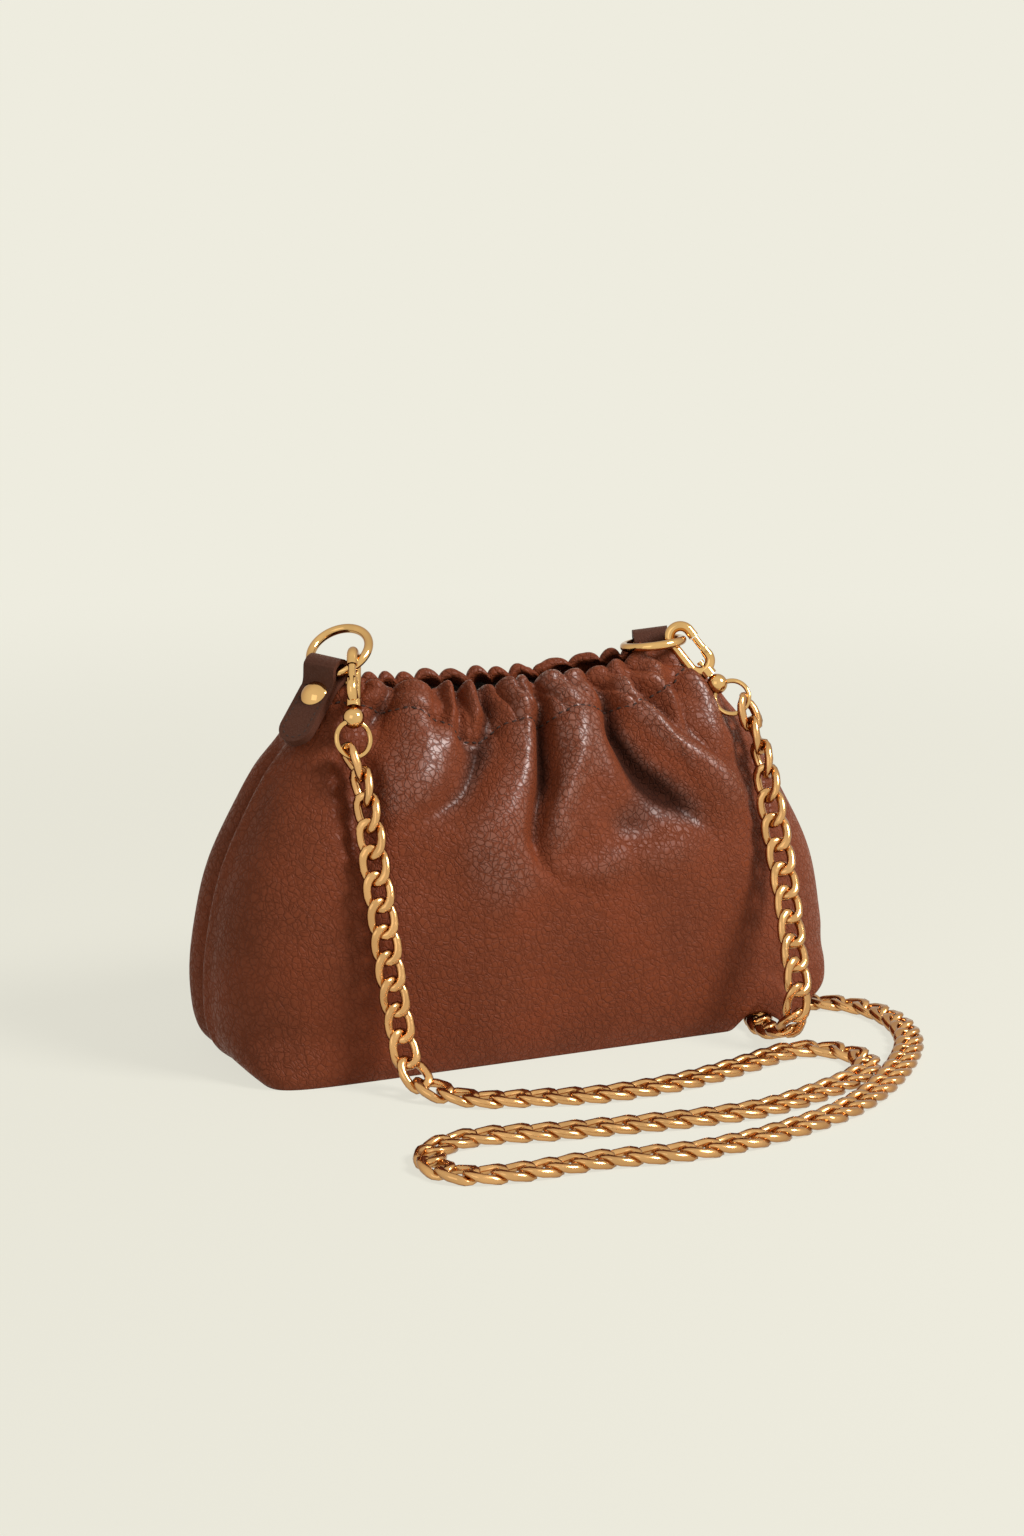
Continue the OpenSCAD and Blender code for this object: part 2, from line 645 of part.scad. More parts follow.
// Route points: place, and the way that the links face. The hanging runs are drawn for a
// body of these sizes and follow it when it changes.
drawn_size = [268, 104, 143];
left_hang = [
    [[-79.5, -33.5, 118.5], [-1, -0.15, 0]], [[-79, -38.5, 108], [-0.85, -0.45, 0.1]],
    [[-79, -46, 88], [-0.5, -0.85, 0.2]], [[-78.5, -51.5, 71], [-0.2, -1, 0.25]],
    [[-77.5, -55, 54], [-0.1, -1, 0.2]], [[-76.5, -57.5, 41], [0, -1, 0.2]],
    [[-75, -60, 28], [0, -1, 0.2]], [[-74, -63, 17], [0, -0.9, 0.4]],
    [[-72, -68, 9], [0, -0.7, 0.7]], [[-68.5, -75, 5.2], [0, -0.3, 1]],
    [[-62, -82, 3.5], [0, 0, 1]]];
floor_run = [
    [-54, -87.5], [-46, -91], [-28, -96.5], [-9, -101], [14, -101.5], [36, -98.5],
    [62, -91], [74, -86.5], [86, -84.5], [98, -90], [104.5, -103], [96, -119], [70, -131.5],
    [43, -139], [14, -139], [-24, -134], [-46, -130], [-60, -126.5], [-75, -125.5],
    [-89, -131.5], [-95, -145], [-88.5, -158], [-69, -163.5], [-38, -164],
    [-1, -169], [34, -164.5], [71, -151.5], [103, -128], [129, -99], [140, -75],
    [141, -54], [133, -39], [119, -31], [104, -31], [94, -38], [89, -48], [87.5, -58]];
right_hang = [
    [[87, -65, 4], [0, -0.1, 1]], [[86.8, -73, 6.8], [0, -0.4, 1]], [[86.8, -79.5, 13], [0, -0.8, 0.6]],
    [[87.2, -81.5, 21], [0, -1, 0.1]], [[88.5, -79, 30], [0, -1, 0]], [[90.5, -71.5, 41], [0, -1, 0.1]],
    [[93, -62, 56], [-0.1, -1, 0.2]],
    [[95, -51, 74], [-0.3, -0.95, 0.3]], [[95, -40.5, 98], [-0.8, -0.6, 0.2]],
    [[95.5, -34, 111], [-0.95, 0, 0.1]]];
hang_facings = [[-1, 0.1, 0], [-0.44, 0.9, 0]];
function follow(p) =
    [p[0] * belly_length / drawn_size[0], p[1] * belly_depth / drawn_size[1],
     p[2] * rim_mid_height / drawn_size[2]];
// The first and the last link hang on the small rings.
link_hang = 2.4;
function hang_point(k) =
    let (f = jump_frame(k), down = -f[2])
    [f[3] + down * (jump_radius + half_link - link_wire - link_hang), hang_facings[k]];
route = [
    hang_point(0),
    for (p = left_hang) [follow(p[0]), p[1]],
    for (p = floor_run) let (q = follow([p[0], p[1], 0])) [[q[0], q[1], link_rest], [0, 0, 1]],
    for (p = right_hang) [follow(p[0]), p[1]],
    hang_point(1)];
last = len(route) - 1;
route_steps = 6;
function bend(a, b, c, d, t) =
    (2 * b + (c - a) * t + (2 * a - 5 * b + 4 * c - d) * t * t + (3 * b - a - 3 * c + d) * t * t * t) / 2;
function route_at(i, t, c) =
    bend(route[max(0, i - 1)][c], route[i][c], route[min(last, i + 1)][c], route[min(last, i + 2)][c], t);
samples = [for (i = [0 : last - 1]) for (k = [0 : route_steps - 1])
    [route_at(i, k / route_steps, 0), route_at(i, k / route_steps, 1)], route[last]];
lengths = [for (i = 0, run = 0; i < len(samples);
    run = run + (i + 1 < len(samples) ? norm(samples[i + 1][0] - samples[i][0]) : 0), i = i + 1) run];
function tabled(c, k) = [for (i = [0 : len(samples) - 1]) [lengths[i], samples[i][c][k]]];
place_tables = [for (k = [0 : 2]) tabled(0, k)];
facing_tables = [for (k = [0 : 2]) tabled(1, k)];
run_length = lengths[len(lengths) - 1];
link_count = round(run_length / link_pitch) + 1;
spacing = run_length / (link_count - 1);
left_foot = lengths[route_steps * (len(left_hang) + 1)];
right_foot = lengths[route_steps * (len(left_hang) + len(floor_run) + 1)];
function on_route(d) = let (p = [for (t = place_tables) lookup(d, t)])
    [p[0], p[1], max(p[2], link_rest)];
function facing(d) = [for (t = facing_tables) lookup(d, t)];
function placed_link(i) =
    let (d = i * spacing, p = on_route(d),
         x = unit(on_route(min(run_length, d + spacing / 2)) - on_route(max(0, d - spacing / 2))),
         n = facing(d), z = unit(n - (n * x) * x), y = cross(z, x))
    [for (q = link_points) p + x * q[0] + y * q[1] + z * q[2]];
module links(from, to) {
    chosen = [for (i = [0 : link_count - 1]) if (i * spacing >= from && i * spacing < to) i];
    count = len(link_points);
    color("#dcae68") polyhedron(points = [for (i = chosen) each placed_link(i)],
        faces = [for (k = [0 : len(chosen) - 1]) for (f = link_faces) [for (v = f) v + k * count]]);
}
module chain_left_hang() {
    links(0, left_foot);
}
module chain_floor() {
    links(left_foot, right_foot);
}
module chain_right_hang() {
    links(right_foot, run_length + spacing);
}

front_panel();
back_panel();
base_panel();
base_board();
lining();
mouth_elastic();
front_magnet();
back_magnet();
left_tab();
right_tab();
left_rivet();
right_rivet();
left_rivet_base();
right_rivet_base();
left_ring();
right_ring();
left_hook();
right_hook();
left_gate();
right_gate();
left_gate_pin();
right_gate_pin();
left_swivel();
right_swivel();
left_jump_ring();
right_jump_ring();
chain_left_hang();
chain_floor();
chain_right_hang();
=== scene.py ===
"""Gathered leather shoulder bag on a curb-chain strap, dressed for a studio picture.

Sizes are in millimetres in the tables and in metres on the meshes. X runs to the bag's
right, the front faces -Y and Z is up.
"""
import math
from collections import namedtuple
import bpy
import bmesh
import numpy as np
from bpy.props import FloatProperty, FloatVectorProperty, IntProperty, PointerProperty
from mathutils import Matrix, Vector


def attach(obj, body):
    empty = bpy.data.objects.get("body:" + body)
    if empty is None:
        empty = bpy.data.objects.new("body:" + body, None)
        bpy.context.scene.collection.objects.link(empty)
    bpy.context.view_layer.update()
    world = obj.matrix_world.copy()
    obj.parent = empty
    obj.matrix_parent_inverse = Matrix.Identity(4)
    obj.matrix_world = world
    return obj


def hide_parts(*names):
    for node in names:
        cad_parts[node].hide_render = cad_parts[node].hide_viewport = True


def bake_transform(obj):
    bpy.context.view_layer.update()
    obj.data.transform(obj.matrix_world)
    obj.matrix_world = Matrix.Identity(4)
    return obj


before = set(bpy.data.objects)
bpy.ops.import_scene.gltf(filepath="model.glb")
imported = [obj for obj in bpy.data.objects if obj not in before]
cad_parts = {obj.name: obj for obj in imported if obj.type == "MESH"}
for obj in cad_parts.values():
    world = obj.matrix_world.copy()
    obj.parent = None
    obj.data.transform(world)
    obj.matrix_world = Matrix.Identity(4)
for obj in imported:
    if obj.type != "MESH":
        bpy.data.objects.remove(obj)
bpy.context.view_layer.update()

bl_info = {
    "name": "Chain Shoulder Bag",
    "version": (1, 0, 0),
    "blender": (4, 5, 0),
    "location": "View3D > Sidebar > Shoulder Bag",
    "description": "Builds a gathered leather shoulder bag, its hardware, its chain and a studio",
    "category": "Object",
}

MM = 0.001


def linear(*seen):
    """Colour as it is seen on a screen, 0 to 255, as scene values."""
    shares = [value / 255 for value in seen]
    return tuple(c / 12.92 if c <= 0.04045 else ((c + 0.055) / 1.055) ** 2.4 for c in shares)


# Sizes and colours

def length_of(name, description, default, low, high):
    return FloatProperty(name=name, description=description, default=default, min=low, max=high,
                         unit="LENGTH")


def count_of(name, description, default, low, high):
    return IntProperty(name=name, description=description, default=default, min=low, max=high)


def colour_of(name, description, *seen):
    return FloatVectorProperty(name=name, description=description, default=linear(*seen), min=0,
                               max=1, subtype="COLOR")


def place_of(name, description, *default):
    return FloatVectorProperty(name=name, description=description, default=default,
                               subtype="TRANSLATION", unit="LENGTH")


class BagLeather(bpy.types.PropertyGroup):
    """Sizes and colours of the leather, the thread and the lining"""
    hem_inset: length_of(
        "Hem inset", "How far the turned-in hem lies behind the outer face", 0.0040, 0.002, 0.008)
    hem_depth: length_of(
        "Hem depth", "How far the hem runs down inside the mouth", 0.014, 0.006, 0.03)
    stitch_pitch: length_of(
        "Stitch pitch", "Distance between stitches in the hem", 0.0034, 0.002, 0.008)
    fold_share: FloatProperty(
        name="Fold depth", description="Share of the drawn depth of the folds", default=1.0,
        min=0.0, max=1.5)
    columns: count_of("Columns", "Mesh columns from seam to seam", 360, 60, 600)
    rows: count_of("Rows", "Mesh rows from the foot to the rim", 150, 40, 300)
    body_colour: colour_of("Leather colour", "Colour of the body's leather", 126, 62, 36)
    # The shade colour is used in the grain's creases and mottle. At a tenth of its strength it is also
    # the painted shade in the deepest folds.
    body_shade: colour_of("Leather shade", "Darker tone in the grain and the folds", 86, 38, 20)
    tab_colour: colour_of("Tab colour", "Colour of the tabs' leather", 92, 55, 42)
    thread_colour: colour_of("Thread colour", "Colour of the thread", 66, 36, 25)
    lining_colour: colour_of("Lining colour", "Colour of the lining", 184, 142, 104)


class BagHardware(bpy.types.PropertyGroup):
    """Sizes of the chain and colours of the metal"""
    wire: length_of(
        "Link wire", "Thickness of the wire in a link of the chain", 0.0036, 0.0015, 0.0045)
    link_length: length_of("Link length", "Length of a link, over all", 0.0170, 0.012, 0.02)
    link_width: length_of("Link width", "Width of a link, over all", 0.0124, 0.008, 0.016)
    flat: length_of(
        "Link thickness", "Thickness of the chain between its ground faces", 0.0046, 0.002, 0.008)
    chain_rest: length_of(
        "Chain rest", "Height of the chain's middle above the floor", 0.0023, 0.001, 0.006)
    gold: colour_of("Gold", "Colour of the polished hardware", 236, 190, 126)
    chain_gold: colour_of("Chain gold", "Colour of the chain", 230, 178, 120)


class BagStage(bpy.types.PropertyGroup):
    """Backdrop, lamps and camera"""
    backdrop: colour_of("Backdrop", "Colour of the floor and the backdrop", 238, 236, 223)
    key: FloatProperty(
        name="Key lamp", description="Power of the large lamp", default=30, min=0, unit="POWER")
    fill: FloatProperty(
        name="Fill lamp", description="Power of the lamp on the other side", default=1.6, min=0,
        unit="POWER")
    sky: FloatProperty(
        name="Room light", description="Strength of the light from all round", default=0.32, min=0)
    camera_at: place_of("Camera", "Place of the camera", -0.4284, -0.9849, 0.3486)
    aim_at: place_of("Aim", "Point that the camera looks at", -0.00165, 0, 0.10819)
    lens: FloatProperty(
        name="Lens", description="Focal length on a frame 36 mm tall", default=63.35, min=20)


# The body's surface

BODY = {"length": 268, "depth": 104, "end": 152, "middle": 143, "lift": 8.6}
# Share of the height, of the half length, of the half depth, squareness, shift of the mouth
LEVELS = np.array([
    (0.00, 0.905, 0.905, 11.0, 0.00), (0.04, 0.955, 0.955, 6.5, 0.00),
    (0.10, 0.988, 0.990, 4.0, 0.00), (0.20, 1.000, 1.000, 3.3, 0.00),
    (0.36, 0.972, 0.995, 3.2, -0.01), (0.54, 0.910, 0.910, 3.2, -0.02),
    (0.70, 0.820, 0.770, 3.1, -0.02), (0.84, 0.720, 0.570, 2.9, -0.02),
    (0.94, 0.630, 0.390, 2.7, -0.04), (1.00, 0.515, 0.285, 2.5, -0.075)])


def smooth(t):
    t = np.clip(t, 0, 1)
    return t * t * (3 - 2 * t)


def rise(value, start, over):
    """0 up to the start, 1 beyond it, with a smooth step over the length between."""
    return smooth((value - start) / over)


def fall(value, end, over):
    """1 well before the end, 0 beyond it, with a smooth step over the length before it."""
    return smooth((end - value) / over)


def level(share, column):
    """Smooth curve through one column of the table of levels."""
    x, y = LEVELS[:, 0], LEVELS[:, column]
    slope = np.gradient(y, x)
    share = np.clip(share, 0, 1)
    i = np.clip(np.searchsorted(x, share, side="right") - 1, 0, len(x) - 2)
    step = x[i + 1] - x[i]
    t = (share - x[i]) / step
    a, b = y[i], y[i + 1]
    return ((2 * t**3 - 3 * t**2 + 1) * a + (t**3 - 2 * t**2 + t) * step * slope[i]
            + (3 * t**2 - 2 * t**3) * b + (t**3 - t**2) * step * slope[i + 1])


def station_angle(s):
    """Angle round the body, -90 to 90 degrees, whose stations lie wider apart at the seams."""
    return np.radians(90 * (0.7 * s + 0.3 * s**5))


def outline(s, share, side):
    """X and Y of the plain body at a station, -1 to 1 from seam to seam, and a share of the height."""
    angle = station_angle(s)
    square = level(share, 3)
    sine, cosine = np.abs(np.sin(angle)), np.abs(np.cos(angle))
    reach = (sine**square + cosine**square) ** (-1 / square)
    x = BODY["length"] / 2 * (level(share, 1) * reach * np.sin(angle) + level(share, 4))
    y = side * BODY["depth"] / 2 * level(share, 2) * reach * np.cos(angle)
    return x, y


# Front right corner in millimetres: the chain runs under it, so the leather's edge rises there
OVER_CHAIN = {"height": 6.4, "at": 88.5, "half_width": 9.5}
# Where the corner rises, each as a start and a length: leather and base along X, both along -Y
CORNER = {"leather": (104, 14), "base": (66, 16), "front": (3, 16)}


def toward_front(y):
    return rise(-y, *CORNER["front"])


def foot_height(x, y):
    """The leather's lower edge: it drapes over the chain where that runs under the corner."""
    away = (x - OVER_CHAIN["at"]) / OVER_CHAIN["half_width"]
    over_chain = OVER_CHAIN["height"] * np.exp(-(away ** 4))
    corner = BODY["lift"] * rise(x, *CORNER["leather"])
    return np.maximum(over_chain, corner) * toward_front(y)


def body_surface(s, share, side):
    """Points in millimetres of the leather's outer face, before its folds."""
    s, share = np.broadcast_arrays(np.asarray(s, float), np.asarray(share, float))
    x, y = outline(s, share, side)
    foot = foot_height(*outline(s, np.zeros_like(share), side))
    rim = BODY["middle"] + (BODY["end"] - BODY["middle"]) * np.sin(station_angle(s)) ** 2
    return np.stack([x, y, foot + (rim - foot) * share], -1)


# Folds of the front, each a line of (station, share of the height, height, width), both
# sizes in millimetres. Heights above zero are ridges, below zero valleys.
FOLDS = {
    "tab_valley": [(-.62, 1, -3, 3), (-.617, .97, -4, 3), (-.624, .935, -3.5, 3.5),
                   (-.641, .895, -1.5, 5), (-.66, .85, 0, 6)],
    "left_bulge": [(-.537, 1, 2, 8), (-.482, .96, 4, 9), (-.45, .888, 6, 11), (-.469, .803, 6.5, 13),
                   (-.503, .731, 4.5, 14), (-.544, .683, 2, 14), (-.58, .63, 0, 14)],
    "pleat_gap": [(-.378, 1, -2.5, 2), (-.363, .964, -3, 2), (-.389, .93, -1.5, 3), (-.4, .9, 0, 3)],
    "pleat": [(-.323, 1, 2.5, 3), (-.317, .958, 3, 3.5), (-.324, .909, 2.5, 4),
              (-.351, .866, 1, 5), (-.36, .84, 0, 5)],
    "second_gap": [(-.283, 1, -4, 2), (-.3, .946, -5, 2), (-.309, .89, -4, 2.2), (-.283, .861, -1.5, 3),
                   (-.28, .84, 0, 4)],
    "second_pleat": [(-.22, 1, 2.5, 3), (-.229, .948, 3, 3.5), (-.247, .891, 2, 4), (-.26, .86, 0, 5)],
    "broad_valley": [(-.144, .99, -4, 3), (-.18, .93, -4.5, 4), (-.213, .885, -5, 5),
                     (-.252, .829, -5.5, 6), (-.297, .755, -5, 7), (-.345, .725, -4.5, 7),
                     (-.398, .703, -3.5, 7), (-.465, .675, -2.5, 8), (-.527, .651, -1, 9),
                     (-.58, .63, 0, 9)],
    "middle_ridge": [(.036, 1, 3.5, 5), (-.041, .9, 4.5, 7), (-.076, .813, 5, 8), (-.139, .735, 5, 10),
                     (-.186, .667, 4.5, 12), (-.198, .613, 4, 14), (-.163, .536, 3, 16),
                     (-.132, .454, 1.5, 18), (-.1, .38, 0, 18)],
    "deep_valley": [(.12, .985, -7, 2.6), (.037, .9, -8.5, 3), (-.001, .825, -9, 3.6),
                    (-.02, .749, -8.5, 4.2), (-.052, .687, -6.5, 4), (-.069, .628, -5, 3.5),
                    (-.05, .563, -3.5, 3.5), (-.005, .511, -2.5, 4), (.07, .484, -1.5, 5),
                    (.143, .481, 0, 6)],
    "knee": [(.25, 1, 4, 9), (.155, .888, 6, 8), (.117, .816, 6.5, 7), (.061, .753, 6, 6),
             (.009, .69, 5, 6), (.006, .627, 3, 6), (.03, .58, 0, 6)],
    "knee_right": [(.361, .979, 2, 6), (.23, .86, 3.5, 9), (.246, .753, 2.5, 10), (.263, .658, 0, 10)],
    "long_valley": [(.414, .976, -6, 2.6), (.325, .888, -7.5, 3.4), (.315, .837, -8, 4.2),
                    (.334, .77, -8, 5.5), (.379, .722, -7, 6), (.428, .673, -5.5, 6.5),
                    (.462, .63, -3.5, 7), (.485, .57, -1.5, 8), (.5, .52, 0, 8)],
    "diagonal_ridge": [(.577, .987, 3, 4), (.463, .941, 4.5, 5), (.472, .874, 5, 6),
                       (.51, .815, 5.5, 6.5), (.56, .748, 5, 7.5), (.612, .692, 4, 9),
                       (.648, .643, 2, 10), (.68, .59, 0, 10)],
    "upper_valley": [(.597, .981, -4, 2), (.541, .939, -5, 2.2), (.543, .879, -5, 2.6),
                     (.54, .84, -4.5, 3), (.568, .801, -4, 3.2), (.627, .747, -3, 4),
                     (.67, .709, -1.5, 5), (.7, .67, 0, 6)],
    "short_ridge": [(.792, .995, 2.5, 3), (.671, .96, 3, 3.5), (.612, .915, 3, 4),
                    (.573, .857, 1.5, 4), (.56, .83, 0, 4)],
    "short_valley": [(.84, .98, -3, 2), (.672, .931, -4, 2.2), (.593, .866, -3.5, 2.6),
                     (.584, .818, -2, 3), (.628, .773, 0, 4)],
    "shoulder": [(.95, .976, 2.5, 4), (.805, .94, 3.5, 5), (.731, .881, 3.5, 6), (.691, .83, 3, 7),
                 (.679, .78, 1.5, 8), (.68, .73, 0, 8)],
    "hollow": [(.15, .6, 0, 12), (.228, .635, -3, 14), (.3, .63, -2.5, 14), (.36, .6, 0, 12)],
    "knee_foot": [(-.047, .613, 0, 5), (-.021, .539, 2, 6), (.026, .507, 2.5, 7), (.115, .523, 2.5, 7),
                  (.231, .546, 2.5, 8), (.341, .537, 2.5, 8), (.432, .56, 2, 8), (.5, .6, 0, 8)],
}
# The hem's stitch line: station and share of the height
HEM_LINE = [(-1, .93), (-.6, .948), (-.472, .94), (-.36, .91), (-.314, .883), (-.275, .863),
            (-.239, .863), (-.13, .903), (-.009, .9), (.091, .892), (.193, .902), (.297, .892),
            (.362, .893), (.424, .868), (.5, .87), (.6, .88), (.8, .9), (1, .93)]
# How a fold fades away from its line: in widths, in millimetres beyond that, and by which power
FADE = {"widths": 3.2, "beyond": 2, "least_width": 0.5, "ridge": 2.0, "valley": 1.5}
# The back's folds as shares of the front's, and how they fade at the rim
BACK = {"station": -0.94, "height": 0.9, "calm": 0.65, "calm_from": (0.82, 0.12)}
# The puffed ground between the folds: height in millimetres, and where it starts and ends
PUFF = {"height": 3.5, "left": (-0.62, 0.3), "right": (0.8, 0.25), "low": (0.5, 0.2),
        "rim": (0.85, 0.15), "less_at_rim": 0.55}


def side_folds(side):
    """The fold lines of one side. The back's are the front's, seen from behind."""
    if side < 0:
        return list(FOLDS.values())
    return [[(BACK["station"] * s, h, BACK["height"] * a, w) for s, h, a, w in line]
            for line in FOLDS.values()]


def curve_through(points, steps):
    """Smooth curve through the points, with every column interpolated."""
    p = np.array(points, float)
    p = np.vstack([2 * p[0] - p[1], p, 2 * p[-1] - p[-2]])
    t = np.linspace(0, 1, steps, endpoint=False)[:, None]
    out = [0.5 * (2 * b + (c - a) * t + (2 * a - 5 * b + 4 * c - d) * t**2
                  + (3 * b - a - 3 * c + d) * t**3)
           for a, b, c, d in zip(p, p[1:], p[2:], p[3:])]
    return np.vstack(out + [p[-2:-1]])


def hem_share(s, side):
    line = np.array(HEM_LINE)
    return np.interp(s if side < 0 else -s, line[:, 0], line[:, 1])


def fold_heights(points, s, share, side):
    """How far each point of a grid stands out of the plain surface, in millimetres."""
    total = np.zeros(points.shape[:2])
    for line in side_folds(side):
        run = curve_through(line, 8)
        path = body_surface(run[:, 0], np.clip(run[:, 1], 0, 1), side)
        reach = FADE["widths"] * run[:, 3].max() + FADE["beyond"]
        near = np.all((points > path.min(0) - reach) & (points < path.max(0) + reach), axis=-1)
        q = points[near]
        gap = np.linalg.norm(q[:, None] - path[None], axis=-1)
        best = gap.argmin(1)
        ratio = gap[np.arange(len(q)), best] / np.maximum(run[best, 3], FADE["least_width"])
        power = FADE["ridge" if run[:, 2].max() > 0 else "valley"]
        total[near] += run[best, 2] * np.exp(-ratio**power)
    # Two slow waves over the whole leather, in millimetres
    wave = (0.9 * np.sin(5.1 * s + 6.0 * share + 1.3) * np.sin(7.3 * share - 2.2 * s)
            + 0.5 * np.sin(13 * s - 9 * share + 0.4 * side) * np.sin(11 * share + 3 * s))
    return total + wave * rise(share, 0, 0.1) * fall(np.abs(s), 1, 0.12)


def beside(grid, axis):
    """The grid moved one step to either side along an axis, with its edges repeated."""
    first = np.take(grid, [0], axis)
    last = np.take(grid, [-1], axis)
    wide = np.concatenate([first, grid, last], axis)
    n = grid.shape[axis]
    return np.take(wide, range(0, n), axis), np.take(wide, range(2, n + 2), axis)


def softened(grid, axis):
    before, after = beside(grid, axis)
    return (before + 2 * grid + after) / 4


def blurred(grid, times):
    for _ in range(times):
        grid = softened(softened(grid, 0), 1)
    return grid


def lowest_near(grid, columns, rows):
    """Lowest value within some columns and rows of each point."""
    for axis, times in ((1, columns), (0, rows)):
        for _ in range(times):
            grid = np.minimum(grid, np.minimum(*beside(grid, axis)))
    return grid


def rim_pleats(s, side):
    """Small gathers along the mouth's edge: 1 on top of a pleat and 0 in the gap beside it."""
    turns = 7.6 * s + 0.3 * np.sin(4.1 * s + 1 + side) + 0.22 * np.sin(9 * s - side)
    return np.abs(np.cos(math.pi * turns)) ** 0.6


def fold_ground(s, share):
    """How far the leather puffs out as a whole where it is folded."""
    along = rise(s, *PUFF["left"]) * fall(s, *PUFF["right"])
    puff = PUFF["height"] * rise(share, *PUFF["low"]) * along
    return puff * (1 - PUFF["less_at_rim"] * rise(share, *PUFF["rim"]))


def grid_normals(points, side):
    along = np.gradient(points, axis=1)
    up = np.gradient(points, axis=0)
    n = np.cross(along, up) * -side
    return n / np.linalg.norm(n, axis=-1, keepdims=True)


def run_along(path):
    """Distance from the path's start at each of its points."""
    return np.concatenate([[0], np.linalg.norm(np.diff(path, axis=0), axis=1).cumsum()])


def grown(grid, axis):
    """Distance along each row or column of a grid of points."""
    step = np.diff(grid, axis=axis, prepend=np.take(grid, [0], axis))
    return np.linalg.norm(step, axis=-1).cumsum(axis)


def unit(v):
    v = np.asarray(v, float)
    return v / np.linalg.norm(v, axis=-1, keepdims=True)


# Room behind the hanging chain in millimetres: the least, and what comes on top near the rings.
# It spreads over some columns and rows and is then blurred.
ROOM = {"least": 0.6, "more": 2.2, "near_rings": (84, 20), "most": 8, "reach": 15, "spread": (3, 3),
        "blur": 6}


def room_for_chain(points):
    """How far the leather draws back from the chain that hangs against it, in millimetres."""
    sizes = bpy.context.scene.bag_hardware
    path, facing, run, left_foot, right_foot = chain_route(sizes.chain_rest)
    path = path / MM
    along = unit(np.gradient(path, axis=0))
    up = unit(facing - along * (facing * along).sum(1, keepdims=True))
    hangs = (run < left_foot) | (run > right_foot)
    path, up, across = path[hangs], up[hangs], np.cross(up, along)[hangs]
    reach = ROOM["reach"]
    near = np.all((points > path.min(0) - reach) & (points < path.max(0) + reach), axis=-1)
    q = points[near]
    gap = q[:, None] - path[None]
    far = np.linalg.norm(gap, axis=-1)
    best = far.argmin(1)
    far = far.min(1)
    way = gap[np.arange(len(q)), best] / np.maximum(far, 0.01)[:, None]
    extent = (sizes.flat / MM / 2 * np.abs((way * up[best]).sum(1))
              + sizes.link_width / MM / 2 * np.abs((way * across[best]).sum(1)))
    clear = ROOM["least"] + ROOM["more"] * rise(q[:, 2], *ROOM["near_rings"])
    room = np.zeros(points.shape[:2])
    room[near] = np.clip(extent + clear - far, 0, ROOM["most"])
    return blurred(-lowest_near(-room, *ROOM["spread"]), ROOM["blur"])


# Bulges (above zero) and grooves beside the side seams: height, middle and reach in millimetres
SEAMS = {-1: ((1.8, 5.0, 3.4), (-4.6, 0, 1.8)), 1: ((1.6, 15, 6.0), (-6.6, 0, 5.6))}
# Shares of the height where they end
SEAM_ENDS = {"top": (0.87, 0.12), "foot": (-0.01, 0.1)}
# The rim's pleats: heights in millimetres, how the rim rises with pleats and folds, and from where
PLEATS = {"front": 1.9, "back": 3.2, "middle": 0.62, "rise": 0.9, "fold_rise": 0.25,
          "from": (0.8, 0.2), "rise_from": (0.82, 0.18), "side_fade": 0.1}
# The hem's swelling above the stitches and the pucker along them: height and reach
HEM = {"swell": 2.0, "swell_reach": 4.5, "pucker": -1.6, "pucker_reach": 1.0}
LEAST_HEIGHT = 0.02
# Outer face of one side: points, normals, fold heights, the plain points and their normals, and
# how far the outer face stands out of the plain one
Surface = namedtuple("Surface", "points normals fold plain flat raised")
DRESSED = {}


def swell(distance, height, middle, reach):
    return height * np.exp(-((distance - middle) / reach) ** 2)


def dressed_surface(side, sizes):
    """The folded outer face of one side, made once for each set of the leather's sizes."""
    key = (side, sizes.columns, sizes.rows, sizes.fold_share)
    if key in DRESSED:
        return DRESSED[key]
    s = np.linspace(-1, 1, sizes.columns + 1)[None, :]
    share = np.linspace(0, 1, sizes.rows + 1)[:, None]
    s, share = np.broadcast_arrays(s, share)
    plain = body_surface(s, share, side)
    normal = grid_normals(plain, side)
    fold = blurred(fold_heights(plain, s, share, side) * sizes.fold_share, 2)
    if side > 0:
        fold = fold * (1 - BACK["calm"] * rise(share, *BACK["calm_from"]))
    height = grown(plain, 0)
    line = hem_share(s, side) * height[-1:]
    hem = (swell(height, HEM["swell"], (line + height[-1:]) / 2, HEM["swell_reach"])
           + swell(height, HEM["pucker"], line, HEM["pucker_reach"]))
    pleat = rim_pleats(s, side) - PLEATS["middle"]
    gathered = rise(share, *PLEATS["from"]) * fall(np.abs(s), 1, PLEATS["side_fade"])
    pleats = PLEATS["front" if side < 0 else "back"] * pleat * gathered
    edge = grown(plain, 1)
    edge = np.minimum(edge, edge[:, -1:] - edge)
    lap = sum(swell(edge, *row) for row in SEAMS[side])
    lap = lap * fall(share, *SEAM_ENDS["top"]) * rise(share, *SEAM_ENDS["foot"])
    raised = fold + fold_ground(s, share) + hem + pleats + lap
    if side < 0:
        raised = raised - room_for_chain(plain + normal * raised[..., None])
    points = plain + normal * raised[..., None]
    lift = PLEATS["fold_rise"] * fold + PLEATS["rise"] * pleat * gathered
    points[..., 2] += lift * rise(share, *PLEATS["rise_from"])
    points[..., 2] = np.maximum(points[..., 2], LEAST_HEIGHT)
    DRESSED[key] = Surface(points, grid_normals(points, side), fold, plain, normal, raised)
    return DRESSED[key]


# Small helpers

def place_object(name, mesh):
    """New object in the bag's own frame, unturned and at the origin."""
    obj = bpy.data.objects.new(name, mesh)
    bpy.context.scene.collection.objects.link(obj)
    return obj


def smooth_faces(obj):
    obj.data.polygons.foreach_set("use_smooth", [True] * len(obj.data.polygons))


